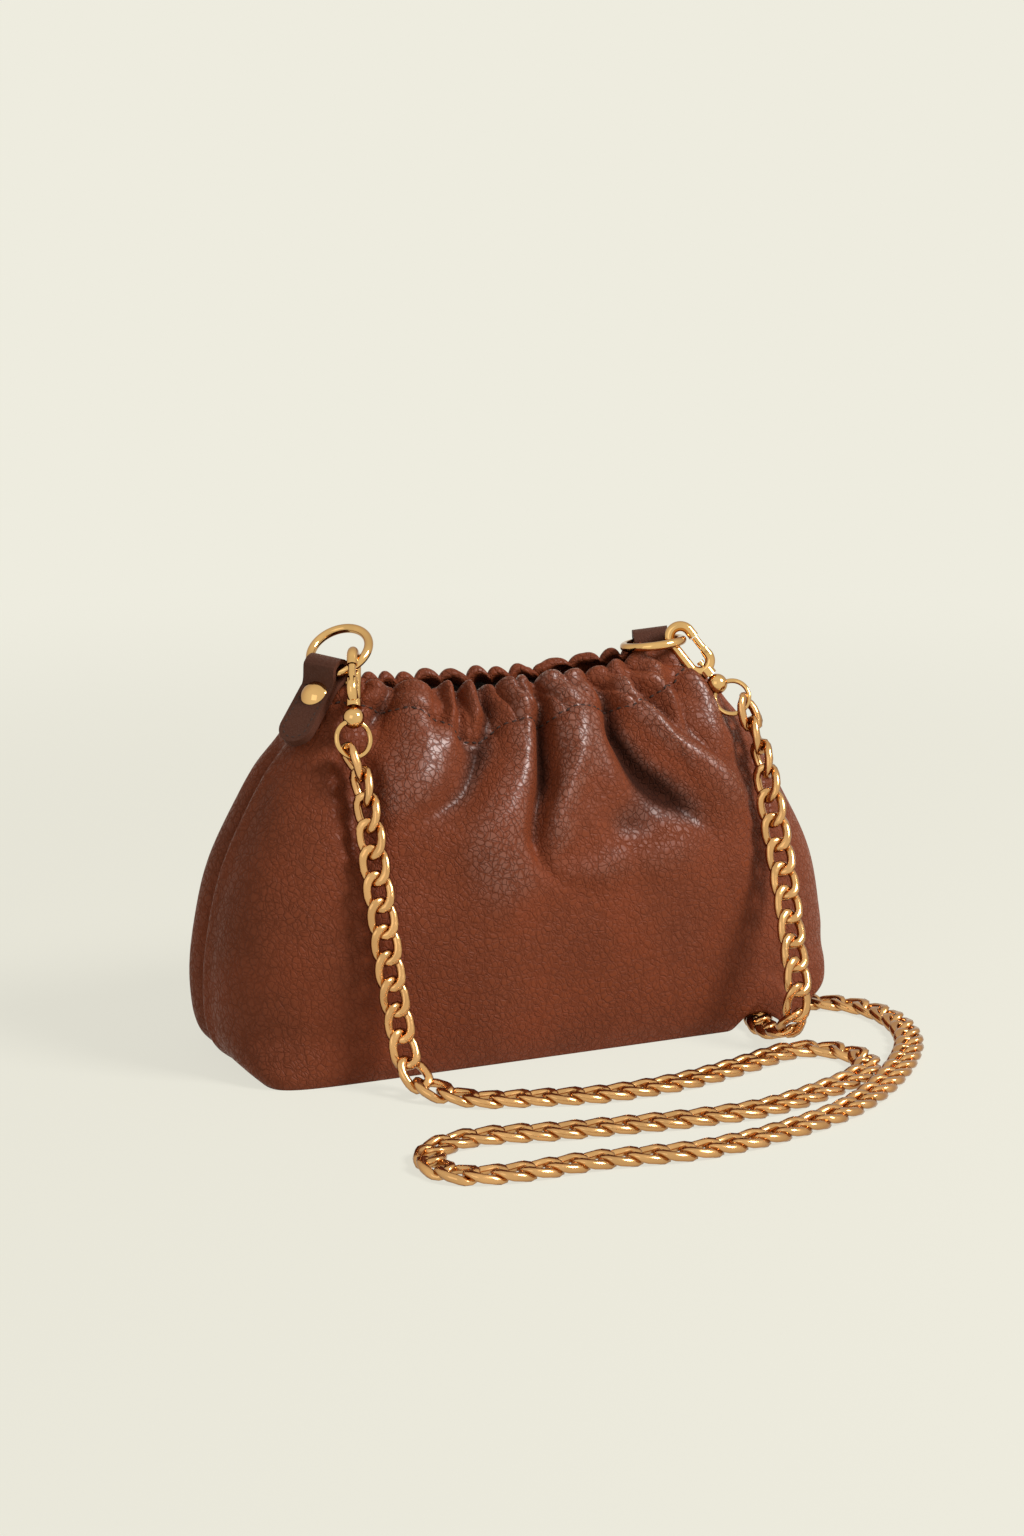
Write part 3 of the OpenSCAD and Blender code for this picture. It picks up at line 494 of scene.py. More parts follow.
def mesh_object(name, points, faces, material=None):
    """New smooth object whose vertices are in metres in the bag's own frame."""
    mesh = bpy.data.meshes.new(name)
    mesh.from_pydata([tuple(p) for p in points], [], faces)
    mesh.validate()
    mesh.update()
    if material:
        mesh.materials.append(material)
    obj = place_object(name, mesh)
    smooth_faces(obj)
    return obj


def grid_faces(rows, columns, closed=False, flip=False):
    """Faces of a grid of points, row by row; a closed row's end joins its start."""
    faces = []
    for i in range(rows - 1):
        for j in range(columns if closed else columns - 1):
            k = (j + 1) % columns
            a, b = i * columns + j, i * columns + k
            c, d = b + columns, a + columns
            faces.append((a, d, c, b) if flip else (a, b, c, d))
    return faces


def face_outwards(obj):
    """Turns the faces of a closed mesh outwards."""
    bm = bmesh.new()
    bm.from_mesh(obj.data)
    bmesh.ops.recalc_face_normals(bm, faces=bm.faces)
    bm.to_mesh(obj.data)
    bm.free()
    return obj


def settle(obj, body, slot, *nodes):
    """Hangs the piece on the body that carries it and hides the solids it stands for; the slot is not
    used.
    """
    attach(obj, body)
    if nodes:
        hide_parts(*nodes)


def apply_modifiers(obj):
    """Plain mesh of the evaluated object, with its modifiers gone."""
    bpy.context.view_layer.update()
    graph = bpy.context.evaluated_depsgraph_get()
    mesh = bpy.data.meshes.new_from_object(obj.evaluated_get(graph), preserve_all_data_layers=True,
                                           depsgraph=graph)
    old = obj.data
    obj.modifiers.clear()
    obj.data = mesh
    mesh.name = obj.name
    bpy.data.meshes.remove(old)
    smooth_faces(obj)
    return obj


# Nodes

class Nodes:
    """Short way to add nodes to a tree and join them."""

    def __init__(self, tree):
        self.tree = tree

    def fill(self, node, values):
        """Sets or joins a node's inputs, named or numbered."""
        for key, value in values.items():
            if isinstance(value, bpy.types.NodeSocket):
                self.tree.links.new(value, node.inputs[key])
            elif value is not None:
                node.inputs[key].default_value = value

    def add(self, kind, values=None, **settings):
        node = self.tree.nodes.new(kind)
        for key, value in settings.items():
            setattr(node, key, value)
        self.fill(node, values or {})
        return node

    def math(self, operation, a, b=None):
        return self.add("ShaderNodeMath", {0: a, 1: b}, operation=operation).outputs[0]

    def plus(self, a, b):
        return self.math("ADD", a, b)

    def minus(self, a, b):
        return self.math("SUBTRACT", a, b)

    def times(self, a, b):
        return self.math("MULTIPLY", a, b)

    def vector(self, operation, a, b=None, scale=None):
        return self.add("ShaderNodeVectorMath", {0: a, 1: b, "Scale": scale},
                        operation=operation).outputs[0]

    def span(self, value, low, high, to_low=0.0, to_high=1.0):
        return self.add(
            "ShaderNodeMapRange", {"Value": value, "From Min": low, "From Max": high,
                                   "To Min": to_low, "To Max": to_high},
            interpolation_type="SMOOTHSTEP").outputs["Result"]

    def mix(self, share, a, b):
        return self.add("ShaderNodeMix", {0: share, 6: a, 7: b}, data_type="RGBA").outputs[2]

    def noise(self, place, scale, detail=2.0):
        return self.add("ShaderNodeTexNoise", {"Vector": place, "Scale": scale, "Detail": detail})

    def relief(self, shader, height, strength, distance):
        bump = self.add("ShaderNodeBump", {"Height": height, "Strength": strength,
                                           "Distance": distance})
        self.fill(shader, {"Normal": bump.outputs["Normal"]})

    def seen(self):
        """1 for rays that should meet the plain backdrop: from the camera, and in reflections."""
        rays = self.add("ShaderNodeLightPath").outputs
        return self.math("MAXIMUM", rays["Is Camera Ray"],
                         self.math("MAXIMUM", rays["Is Glossy Ray"], rays["Is Transmission Ray"]))


def shader_group(inputs, outputs):
    """Makes a function build its shader group once, under the function's own name."""
    def turned(build):
        name = build.__name__.replace("_", " ").capitalize()

        def group():
            if name in bpy.data.node_groups:
                return bpy.data.node_groups[name]
            tree = bpy.data.node_groups.new(name, "ShaderNodeTree")
            tree.interface.new_socket("Vector", in_out="INPUT", socket_type="NodeSocketVector")
            for label, default in inputs.items():
                socket = tree.interface.new_socket(label, in_out="INPUT", socket_type="NodeSocketFloat")
                socket.default_value = default
            for label in outputs:
                tree.interface.new_socket(label, in_out="OUTPUT", socket_type="NodeSocketFloat")
            n = Nodes(tree)
            results = build(n, n.add("NodeGroupInput").outputs)
            n.add("NodeGroupOutput", dict(zip(outputs, results)))
            return tree
        return group
    return turned


@shader_group({"Pebbles per metre": 480.0, "Coarse": 0.0, "Crease": 0.13},
              ("Height", "Crease mask", "Mottle"))
def pebble_grain(n, given):
    """Leather grain: pebbles parted by fine creases, coarser where the leather folds."""
    place, crease, coarse = given["Vector"], given["Crease"], given["Coarse"]
    pebbles = given["Pebbles per metre"]

    def tops(where, scale, wide):
        cells = n.add("ShaderNodeTexVoronoi", {"Vector": where, "Scale": scale},
                      feature="DISTANCE_TO_EDGE")
        return n.span(cells.outputs["Distance"], 0.0, wide)
    bend = n.noise(place, 210.0).outputs["Color"]
    shift = n.vector("SCALE", n.vector("SUBTRACT", bend, (0.5, 0.5, 0.5)), scale=0.0032)
    moved = n.vector("ADD", place, shift)
    leaned = n.add("ShaderNodeVectorRotate", {"Vector": moved, "Angle": math.radians(32)},
                   rotation_type="Y_AXIS")
    drawn = n.vector("MULTIPLY", leaned.outputs["Vector"], (1.0, 1.0, 0.55))
    fine = tops(moved, pebbles, crease)
    broad = tops(drawn, n.times(pebbles, 0.7), n.times(crease, 1.2))
    both = n.plus(n.times(fine, n.plus(0.5, n.times(coarse, 0.5))),
                  n.times(broad, n.minus(0.45, n.times(coarse, 0.2))))
    pores = n.noise(place, 2600.0, 3.0).outputs["Fac"]
    return (n.plus(both, n.times(pores, 0.05)), n.minus(1.0, n.times(fine, broad)),
            n.noise(place, 34.0, 4.0).outputs["Fac"])


@shader_group({"Scale": 700.0, "Low": 0.12, "High": 0.3}, ("Roughness", "Height", "Tone"))
def fine_scratches(n, given):
    """Small scratches and smears on metal, as a change of roughness and a height."""
    stretched = n.vector("MULTIPLY", given["Vector"], (1.0, 0.25, 1.0))
    streak = n.noise(stretched, given["Scale"], 4.0).outputs["Fac"]
    smear = n.noise(given["Vector"], 90.0).outputs["Fac"]
    both = n.times(n.span(streak, 0.35, 0.72), n.span(smear, 0.3, 0.75, 0.4, 1.0))
    rough = n.add("ShaderNodeMapRange", {"Value": both, "To Min": given["Low"],
                                         "To Max": given["High"]})
    return rough.outputs["Result"], streak, smear


@shader_group({"Threads per metre": 1600.0}, ("Height", "Tone"))
def woven_threads(n, given):
    """Plain weave on the piece's own coordinates."""
    turns = n.times(given["Threads per metre"], math.pi)
    parts = n.add("ShaderNodeSeparateXYZ", {0: n.vector("SCALE", given["Vector"], scale=turns)})
    warp, weft = (n.math("ABSOLUTE", n.math("SINE", way)) for way in (
        parts.outputs["X"], n.plus(parts.outputs["Y"], parts.outputs["Z"])))
    return n.times(warp, weft), n.noise(given["Vector"], 260.0).outputs["Fac"]


# Materials

def toned(colour, *shares):
    """The colour times one share, or one for each channel, with its alpha."""
    return tuple(c * share for c, share in zip(colour[:3], (shares or (1,)) * 3)) + (1.0,)


def empty_nodes(owner):
    """Nodes of a material or a world, with nothing in them."""
    owner.use_nodes = True
    owner.node_tree.nodes.clear()
    return Nodes(owner.node_tree)


def start_material(name, group=None, **values):
    """New material: its nodes, its shader, the piece's own coordinates and a group's outputs."""
    material = bpy.data.materials.new(name)
    n = empty_nodes(material)
    shader = n.add("ShaderNodeBsdfPrincipled")
    n.add("ShaderNodeOutputMaterial", {"Surface": shader.outputs[0]})
    place = n.add("ShaderNodeTexCoord").outputs["Object"]
    if not group:
        return material, n, shader, place
    marks = n.add("ShaderNodeGroup", node_tree=group())
    n.fill(marks, {"Vector": place, **values})
    return material, n, shader, marks


def leather_material(name, colour, shade, pebbles, folded, bump, rough):
    material, n, shader, grain = start_material(name, pebble_grain, **{"Pebbles per metre": pebbles})
    mask, mottle = grain.outputs["Crease mask"], grain.outputs["Mottle"]
    tone = n.mix(n.times(mask, 0.32), toned(colour), toned(shade))
    tone = n.mix(n.span(mottle, 0.4, 0.75, 0.0, 0.16), tone, toned(shade))
    tone = n.mix(n.span(mottle, 0.55, 0.3, 0.0, 0.4), tone, toned(colour, 1.16, 1.05, 1.0))
    matt = n.span(mask, 0.0, 1.0, rough, min(1, rough + 0.25))
    if folded:
        fold = n.add("ShaderNodeAttribute", attribute_name="fold").outputs["Fac"]
        coarse = n.span(n.math("ABSOLUTE", fold), 0.6, 4.0)
        # Painted shade: where the fold attribute lies well below zero, the deep valleys are darkened
        # nearly to black, standing in for the shade that falls in them. The same mask also makes them
        # rougher and takes the coat off there.
        painted_dark = n.span(fold, -0.8, -6.0)
        tone = n.mix(n.times(painted_dark, 0.85), tone, toned(shade, 0.1))
        matt = n.math("MAXIMUM", matt, n.times(painted_dark, 0.95))
        worn = n.times(n.minus(1.0, n.times(mask, 0.85)), coarse)
        n.fill(grain, {"Coarse": coarse})
        n.fill(shader, {"Coat Weight": n.times(worn, n.minus(1.0, painted_dark)), "Coat Roughness": 0.4,
                        "Coat IOR": 1.6})
    n.fill(shader, {"Base Color": tone, "Roughness": matt, "Specular IOR Level": 0.17})
    n.relief(shader, grain.outputs["Height"], bump, 0.00032)
    return material


def metal_material(name, colour, low, high, scale=700.0, bump=0.04):
    material, n, shader, marks = start_material(name, fine_scratches, Scale=scale, Low=low, High=high)
    tone = n.mix(n.span(marks.outputs["Tone"], 0.3, 0.7), toned(colour, 0.82), toned(colour))
    # Painted reflection: the metal's colour darkens toward a deep brown where its surface turns away
    # from the view (Layer Weight facing). This stands in for the dark surroundings that polished gold
    # would reflect at its edges.
    edge = n.add("ShaderNodeLayerWeight", {"Blend": 0.5}).outputs["Facing"]
    painted_dark = toned(colour, 0.42, 0.3, 0.2)
    n.fill(shader, {"Base Color": n.mix(n.span(edge, 0.1, 0.75, 0.0, 0.85), tone, painted_dark),
                    "Metallic": 1.0, "Roughness": marks.outputs["Roughness"]})
    n.relief(shader, marks.outputs["Height"], bump, 0.0001)
    return material


def cloth_material(name, colour, threads, rough=0.85):
    material, n, shader, weave = start_material(name, woven_threads, **{"Threads per metre": threads})
    dark = toned(colour, 0.6)
    tone = n.mix(weave.outputs["Height"], dark, toned(colour))
    tone = n.mix(n.span(weave.outputs["Tone"], 0.3, 0.7, 0.0, 0.25), tone, dark)
    n.fill(shader, {"Base Color": tone, "Roughness": rough})
    n.relief(shader, weave.outputs["Height"], 0.5, 0.0003)
    return material


def board_material(name, colour):
    material, n, shader, place = start_material(name)
    speck = n.noise(place, 400.0, 4.0).outputs["Fac"]
    tone = n.mix(n.span(speck, 0.35, 0.7), toned(colour), toned(colour, 0.75))
    n.fill(shader, {"Base Color": tone, "Roughness": 0.9})
    n.relief(shader, speck, 0.3, 0.0002)
    return material


def finish_named(name):
    """The materials, each made the first time that a piece asks for it."""
    if name in bpy.data.materials:
        return bpy.data.materials[name]
    leather, hardware = bpy.context.scene.bag_leather, bpy.context.scene.bag_hardware
    body, shade, tab = leather.body_colour, leather.body_shade, leather.tab_colour
    make, *values = {
        "body leather": (leather_material, body, shade, 430.0, True, 1.0, 0.4),
        "base leather": (leather_material, toned(body, 0.8), shade, 480.0, False, 0.9, 0.5),
        "tab leather": (leather_material, tab, toned(tab, 0.6), 900.0, False, 0.35, 0.42),
        "thread": (cloth_material, leather.thread_colour, 3000.0, 0.6),
        "lining cloth": (cloth_material, leather.lining_colour, 1700.0),
        "elastic band": (cloth_material, linear(58, 46, 42), 1200.0),
        "board": (board_material, linear(199, 178, 138)),
        "polished gold": (metal_material, hardware.gold, 0.07, 0.17),
        "chain gold": (metal_material, hardware.chain_gold, 0.13, 0.34, 900.0, 0.12),
        "magnet plate": (metal_material, linear(190, 160, 100), 0.25, 0.4),
        "pin metal": (metal_material, linear(206, 160, 98), 0.15, 0.3),
    }[name]
    return make(name, *values)


def paint(node, finish):
    """Gives a solid of the frame its finish."""
    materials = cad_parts[node].data.materials
    materials.clear()
    materials.append(finish_named(finish))


# Geometry Nodes

def repeat_along_path():
    """Tree that sets one piece on every point of a path, turned by the points' own turns."""
    name = "Repeat along path"
    if name in bpy.data.node_groups:
        return bpy.data.node_groups[name]
    tree = bpy.data.node_groups.new(name, "GeometryNodeTree")
    sockets = tree.interface
    for label, kind in (("Points", "Geometry"), ("Piece", "Object"), ("Size", "Float"),
                        ("Finish", "Material")):
        sockets.new_socket(label, in_out="INPUT", socket_type="NodeSocket" + kind)
    sockets.items_tree["Size"].default_value = 1.0
    sockets.new_socket("Result", in_out="OUTPUT", socket_type="NodeSocketGeometry")
    n = Nodes(tree)
    given = n.add("NodeGroupInput").outputs
    turn = n.add("GeometryNodeInputNamedAttribute", {"Name": "turn"}, data_type="FLOAT_VECTOR")
    rotation = n.add("FunctionNodeEulerToRotation", {0: turn.outputs["Attribute"]})
    places = n.add("GeometryNodeMeshToPoints", {"Mesh": given["Points"]})
    piece = n.add("GeometryNodeObjectInfo", {"Object": given["Piece"]})
    put = n.add("GeometryNodeInstanceOnPoints", {
        "Points": places.outputs[0], "Instance": piece.outputs["Geometry"],
        "Rotation": rotation.outputs[0], "Scale": given["Size"]})
    real = n.add("GeometryNodeRealizeInstances", {0: put.outputs[0]})
    finish = n.add("GeometryNodeSetMaterial", {"Geometry": real.outputs[0], "Material": given["Finish"]})
    n.add("NodeGroupOutput", {"Result": finish.outputs[0]})
    return tree


def repeated(name, places, frames, piece, material):
    """Plain mesh of the piece repeated at places, with frames of three unit vectors each."""
    mesh = bpy.data.meshes.new(name)
    mesh.from_pydata([tuple(p) for p in places], [], [])
    turns = mesh.attributes.new("turn", "FLOAT_VECTOR", "POINT")
    for turn, axes in zip(turns.data, frames):
        turn.vector = Matrix(axes).transposed().to_euler("XYZ")
    obj = place_object(name, mesh)
    tree = repeat_along_path()
    modifier = obj.modifiers.new("Repeat", "NODES")
    modifier.node_group = tree
    keys = {item.name: item.identifier for item in tree.interface.items_tree if item.in_out == "INPUT"}
    for label, value in (("Piece", piece), ("Size", 1.0), ("Finish", material)):
        modifier[keys[label]] = value
    return apply_modifiers(obj)


def axes_along(ahead, out):
    """Axes of a piece that runs ahead, its Z turned as far out as it goes."""
    x = unit(ahead)
    z = unit(out - x * np.dot(out, x))
    return x, np.cross(z, x), z


def along_path(at, run, table):
    """Rows of a table at some distances along its path."""
    return np.stack([np.interp(at, run, column) for column in np.transpose(table)], -1)


def spaced_frames(path, normals, pitch):
    """Places and axes at even steps along a path: X along it and Z out of the surface."""
    run = run_along(path)
    count = max(2, int(run[-1] / pitch))
    at = (np.arange(count) + 0.5) * run[-1] / count
    ahead = along_path(at + pitch / 4, run, path) - along_path(at - pitch / 4, run, path)
    axes = [axes_along(*row) for row in zip(ahead, along_path(at, run, normals))]
    return along_path(at, run, path), np.array(axes)


# Leather panels

def grid_object(name, grid, finish, closed=False, flip=False, middles=()):
    """New object of a grid in millimetres; middles close its first and its last row."""
    rows, wide = grid.shape[:2]
    faces = grid_faces(rows, wide, closed, flip)
    last = (rows - 1) * wide
    for j in range(wide):
        k = (j + 1) % wide
        faces += [(rows * wide, k, j), (rows * wide + 1, last + j, last + k)][:len(middles)]
    points = np.vstack([grid.reshape(-1, 3), *middles]) * MM
    return mesh_object(name, points, faces, finish_named(finish))


# Foot of the leather, turned in under the bag: inset and rise in millimetres
FOOT = ((2.1, 2.2), (2.0, 0.7), (1.3, 0.12), (0.5, 0.0))
ROLL_ROWS = 8
HEM_ROWS = 7
# The rim's roll grows by the second share on top of a pleat; the hem's folds lie deeper
ROLL_SHARES = (0.75, 0.65)
HEM_FOLD = -2


def panel_mesh(side, sizes):
    """One leather side with its foot, rim and turned-in hem in millimetres, and its folds."""
    dressed = dressed_surface(side, sizes)
    points, fold = dressed.points, dressed.fold
    foot_out, rim_out = (unit(n * [1, 1, 0]) for n in (dressed.normals[0], dressed.flat[-1]))
    foot = [points[0] - foot_out * inset + np.array([0, 0, up]) for inset, up in FOOT]
    s = np.linspace(-1, 1, sizes.columns + 1)
    lobe = rim_pleats(s, side) * fall(np.abs(s), 1, PLEATS["side_fade"])
    hem = sizes.hem_inset / MM
    radius = (hem / 2 * (ROLL_SHARES[0] + ROLL_SHARES[1] * lobe))[:, None]
    roll = [points[-1] - rim_out * radius * (1 - math.cos(a)) + radius * [0, 0, math.sin(a)]
            for a in math.pi * np.arange(1, ROLL_ROWS + 1) / ROLL_ROWS]
    inside = []
    for down in np.arange(1, HEM_ROWS + 1) / HEM_ROWS:
        row = int(round(down * (sizes.hem_depth / MM) / (BODY["middle"] / sizes.rows)))
        inside.append(points[sizes.rows - row] - rim_out * (2 * radius * (1 - down) + hem * down))
    values = [np.repeat(fold[:1], len(foot), 0), fold, np.repeat(fold[-1:], ROLL_ROWS, 0),
              np.repeat(fold[-1:] + HEM_FOLD, HEM_ROWS, 0)]
    return np.array(foot + list(points) + roll + inside), np.concatenate(values)


class BAG_OT_panels(bpy.types.Operator):
    """Builds the front and back leather, folded and gathered at the mouth"""
    bl_idname = "bag.panels"
    bl_label = "Leather panels"

    def execute(self, context):
        for side, node in ((-1, "front_panel"), (1, "back_panel")):
            grid, values = panel_mesh(side, context.scene.bag_leather)
            obj = grid_object(node + "_leather", grid, "body leather", flip=side > 0)
            attribute = obj.data.attributes.new("fold", "FLOAT", "POINT")
            attribute.data.foreach_set("value", values.ravel().astype(np.float32))
            settle(obj, "bag", "body_leather", node)
        return {"FINISHED"}


# Stitches

# Rows and sides of a stitch, its thickness at the ends and how far they dip, as shares
STITCH = {"rows": 7, "around": 6, "end": 0.12, "dip": 0.35}
# Stitches of the hem: share of their pitch, metres across and out of the leather, and the
# columns left out at the seams and smoothed along the line
HEM_STITCH = {"share": 0.66, "thick": 0.0009, "proud": 0.0002, "ends": 6, "smoothed": 5}


def stitch_piece(length, thick):
    """One stitch: a short thread with rounded ends that dips into the leather."""
    rows, around = STITCH["rows"], STITCH["around"]
    points = []
    for t in np.arange(rows) / (rows - 1):
        r = thick / 2 * math.sqrt(max(STITCH["end"], 1 - (2 * t - 1) ** 4))
        centre = np.array([(t - 0.5) * length, 0, -STITCH["dip"] * thick * (2 * t - 1) ** 2])
        points += [centre + np.array([0, r * math.cos(a), r * math.sin(a)])
                   for a in np.linspace(0, 2 * math.pi, around, endpoint=False)]
    faces = grid_faces(rows, around, closed=True, flip=True)
    faces += [tuple(range(around))[::-1], tuple(range((rows - 1) * around, rows * around))]
    return face_outwards(mesh_object("stitch", points, faces))


def sew(name, path, out, pitch, piece, slot, proud=0.0):
    """Line of stitches along a path in millimetres, a little way out of the surface."""
    spot, frames = spaced_frames(path * MM, out, pitch)
    obj = repeated(name, spot + frames[:, 2] * proud, frames, piece, finish_named("thread"))
    settle(obj, "bag", slot)


class BAG_OT_hem_stitches(bpy.types.Operator):
    """Sews the line of stitches that holds the hem"""
    bl_idname = "bag.hem_stitches"
    bl_label = "Hem stitches"

    def execute(self, context):
        sizes = context.scene.bag_leather
        piece = stitch_piece(sizes.stitch_pitch * HEM_STITCH["share"], HEM_STITCH["thick"])
        columns = np.arange(sizes.columns + 1)
        kept = slice(HEM_STITCH["ends"], -HEM_STITCH["ends"])
        wide = HEM_STITCH["smoothed"]
        for side, label in ((-1, "front"), (1, "back")):
            dressed = dressed_surface(side, sizes)
            height = grown(dressed.plain, 0)
            line = hem_share(np.linspace(-1, 1, sizes.columns + 1), side) * height[-1]
            row = np.abs(height - line).argmin(0)
            path, out = (grid[row, columns][kept] for grid in (dressed.points, dressed.normals))
            path = np.stack([np.convolve(np.pad(way, wide // 2, mode="edge"), np.ones(wide) / wide,
                                         "valid") for way in path.T], -1)
            sew("hem_stitches_" + label, path, out, sizes.stitch_pitch, piece, "body_leather",
                HEM_STITCH["proud"])
        bpy.data.objects.remove(piece)
        return {"FINISHED"}


# Inside the bag

# Sizes in millimetres; shares are of the height
MAGNET = {"share": 0.84, "across": 14.0, "fade": 6, "depth": 7.4}
LINING = {"inset": 2.6, "step": 4, "floor": 12.9, "under": (0.25, 0.6, 0.92), "corner": 0.985,
          "bottom": 0.12, "top": 0.94, "rings": 34}
ELASTIC = {"shares": [0.94, 0.98], "outer": 1.6, "inner": 2.3, "step": 2}
BASE = {"around": 160, "inset": 1.6, "gap": 0.15, "leather": 1.8, "lift_to": (0.985, 0.05),
        "shares": (0.25, 0.5, 0.7, 0.8, 0.87, 0.92, 0.95, 0.97, 0.985, 1.0)}


def loop_rings(shares, inset, step, sizes):
    """Rings round the whole body at some shares of the height, behind the folded leather."""
    behind = {}
    for side in (-1, 1):
        dressed = dressed_surface(side, sizes)
        low = lowest_near(dressed.raised, step, 4) - inset
        near = np.linalg.norm(dressed.plain - body_surface(0, MAGNET["share"], side), axis=-1)
        press = -MAGNET["depth"] * fall(near, MAGNET["across"], MAGNET["fade"])
        low = np.where(press < 0, np.minimum(low, press), low)
        behind[side] = dressed.plain + dressed.flat * low[..., None]
    rows = [int(round(share * sizes.rows)) for share in shares]
    return np.array([np.concatenate([behind[-1][row, 0:sizes.columns:step],
                                     behind[1][row, sizes.columns:0:-step]]) for row in rows])


class BAG_OT_inside(bpy.types.Operator):
    """Lines the bag and finishes the elastic, board and magnets"""
    bl_idname = "bag.inside"
    bl_label = "Inside"

    def execute(self, context):
        sizes = context.scene.bag_leather
        shares = np.linspace(LINING["bottom"], LINING["top"], LINING["rings"])
        rings = loop_rings(shares, LINING["inset"], LINING["step"], sizes)
        low = rings[0] * [1, 1, 0] + [0, 0, LINING["floor"]]
        middle = low.mean(0)
        under = [middle + (low - middle) * share for share in LINING["under"]]
        corner = low * [LINING["corner"], LINING["corner"], 1]
        grid = np.array(under + [corner] + list(rings))
        obj = grid_object("lining_cloth", grid, "lining cloth", True, True, [middle])
        settle(obj, "bag", "lining_cloth", "lining")

        shares, step = ELASTIC["shares"], ELASTIC["step"]
        band = loop_rings(shares, ELASTIC["outer"], step, sizes)
        inner = loop_rings(shares[::-1], ELASTIC["inner"], step, sizes)
        grid = np.concatenate([band, inner, band[:1]])
        obj = grid_object("hem_elastic", grid, "elastic band", closed=True)
        settle(obj, "bag", "elastic", "mouth_elastic")
        for node, finish in (("base_board", "board"), ("front_magnet", "magnet plate"),
                             ("back_magnet", "magnet plate")):
            paint(node, finish)
        return {"FINISHED"}


class BAG_OT_base(bpy.types.Operator):
    """Closes the bottom with a leather base that rides over the chain at one corner"""
    bl_idname = "bag.base"
    bl_label = "Leather base"

    def execute(self, context):
        turns = np.linspace(0, 4, BASE["around"], endpoint=False) - 1
        side = np.where(turns <= 1, -1, 1)
        x, y = outline(np.where(turns <= 1, turns, 2 - turns), np.zeros(BASE["around"]), side)
        edge = np.stack([x, y], -1) * (1 - BASE["inset"] / np.hypot(x, y))[:, None]
        layers = []
        for shares, leather in ((BASE["shares"], 0), (BASE["shares"][::-1], BASE["leather"])):
            for share in shares:
                spot = edge * share
                corner = rise(spot[:, 0], *CORNER["base"]) * toward_front(spot[:, 1])
                lift = BODY["lift"] * corner * fall(share, *BASE["lift_to"])
                height = np.maximum(foot_height(*spot.T), lift) + BASE["gap"] + leather
                layers.append(np.concatenate([spot, height[:, None]], -1))
        middles = [(0, 0, BASE["gap"]), (0, 0, BASE["gap"] + BASE["leather"])]
        obj = grid_object("base_leather", np.array(layers), "base leather", True, True, middles)
        settle(obj, "bag", "body_leather", "base_panel")
        return {"FINISHED"}


# Tabs

# Frames of the tabs: X along the width, Y into the bag, Z up, and the rivet's middle
TABS = {
    "left": ((0.562502, -0.822156, -0.087467), (0.572962, 0.463890, -0.675663),
             (0.596076, 0.329947, 0.732003), (-88.157, -7.255, 146.386)),
    "right": ((-0.928334, 0.350392, -0.124182), (-0.193705, -0.741053, -0.642899),
              (-0.317292, -0.572770, 0.755818), (67.459, 12.173, 145.561)),
}
# Sizes in millimetres; the stitches run a little in front of the leather
TAB = {"width": 14.5, "end": 22.6, "leather": 1.8, "fold_forward": 1.806, "fold_at": 11.0,
       "fold_radius": 4.51, "least_width": 0.6, "seam_inset": 2.0, "seam_top": 3.6, "proud": 0.02,
       "front_top": 3.2, "back_top": 5.2, "bend": (-1.4, 5.6), "rows": 16, "across": 13,
       "turn": (205, -31, -15), "seam_rows": 12, "seam_turn": 14}
# Sizes in metres of the tabs' stitches and of their rounded edges
TAB_STITCH = {"length": 0.0017, "thick": 0.0005, "pitch": 0.0027}
TAB_EDGE = {"width": 0.00085, "segments": 4, "above_degrees": 50}


def in_frame(f, points):
    """Points of a tab's frame in the bag's own frame."""
    x, y, z, o = (np.array(v) for v in f)
    p = np.asarray(points)
    return o + p[..., :1] * x + p[..., 1:2] * y + p[..., 2:3] * z


def tab_path():
    """Middle line of the folded strip in its frame's Y and Z, from one end to the other."""
    half, r = TAB["leather"] / 2, TAB["fold_radius"]
    turn = [(r * math.cos(a) - TAB["fold_forward"], r * math.sin(a) + TAB["fold_at"])
            for a in np.radians(np.arange(*TAB["turn"]))]
    front = [(-half, z) for z in np.linspace(-TAB["end"], TAB["front_top"], TAB["rows"])]
    back = [(half, z) for z in np.linspace(TAB["back_top"], -TAB["end"], TAB["rows"])]
    bend = (TAB["bend"][0] - half, TAB["bend"][1])
    return np.array(front + [bend] + turn + back)


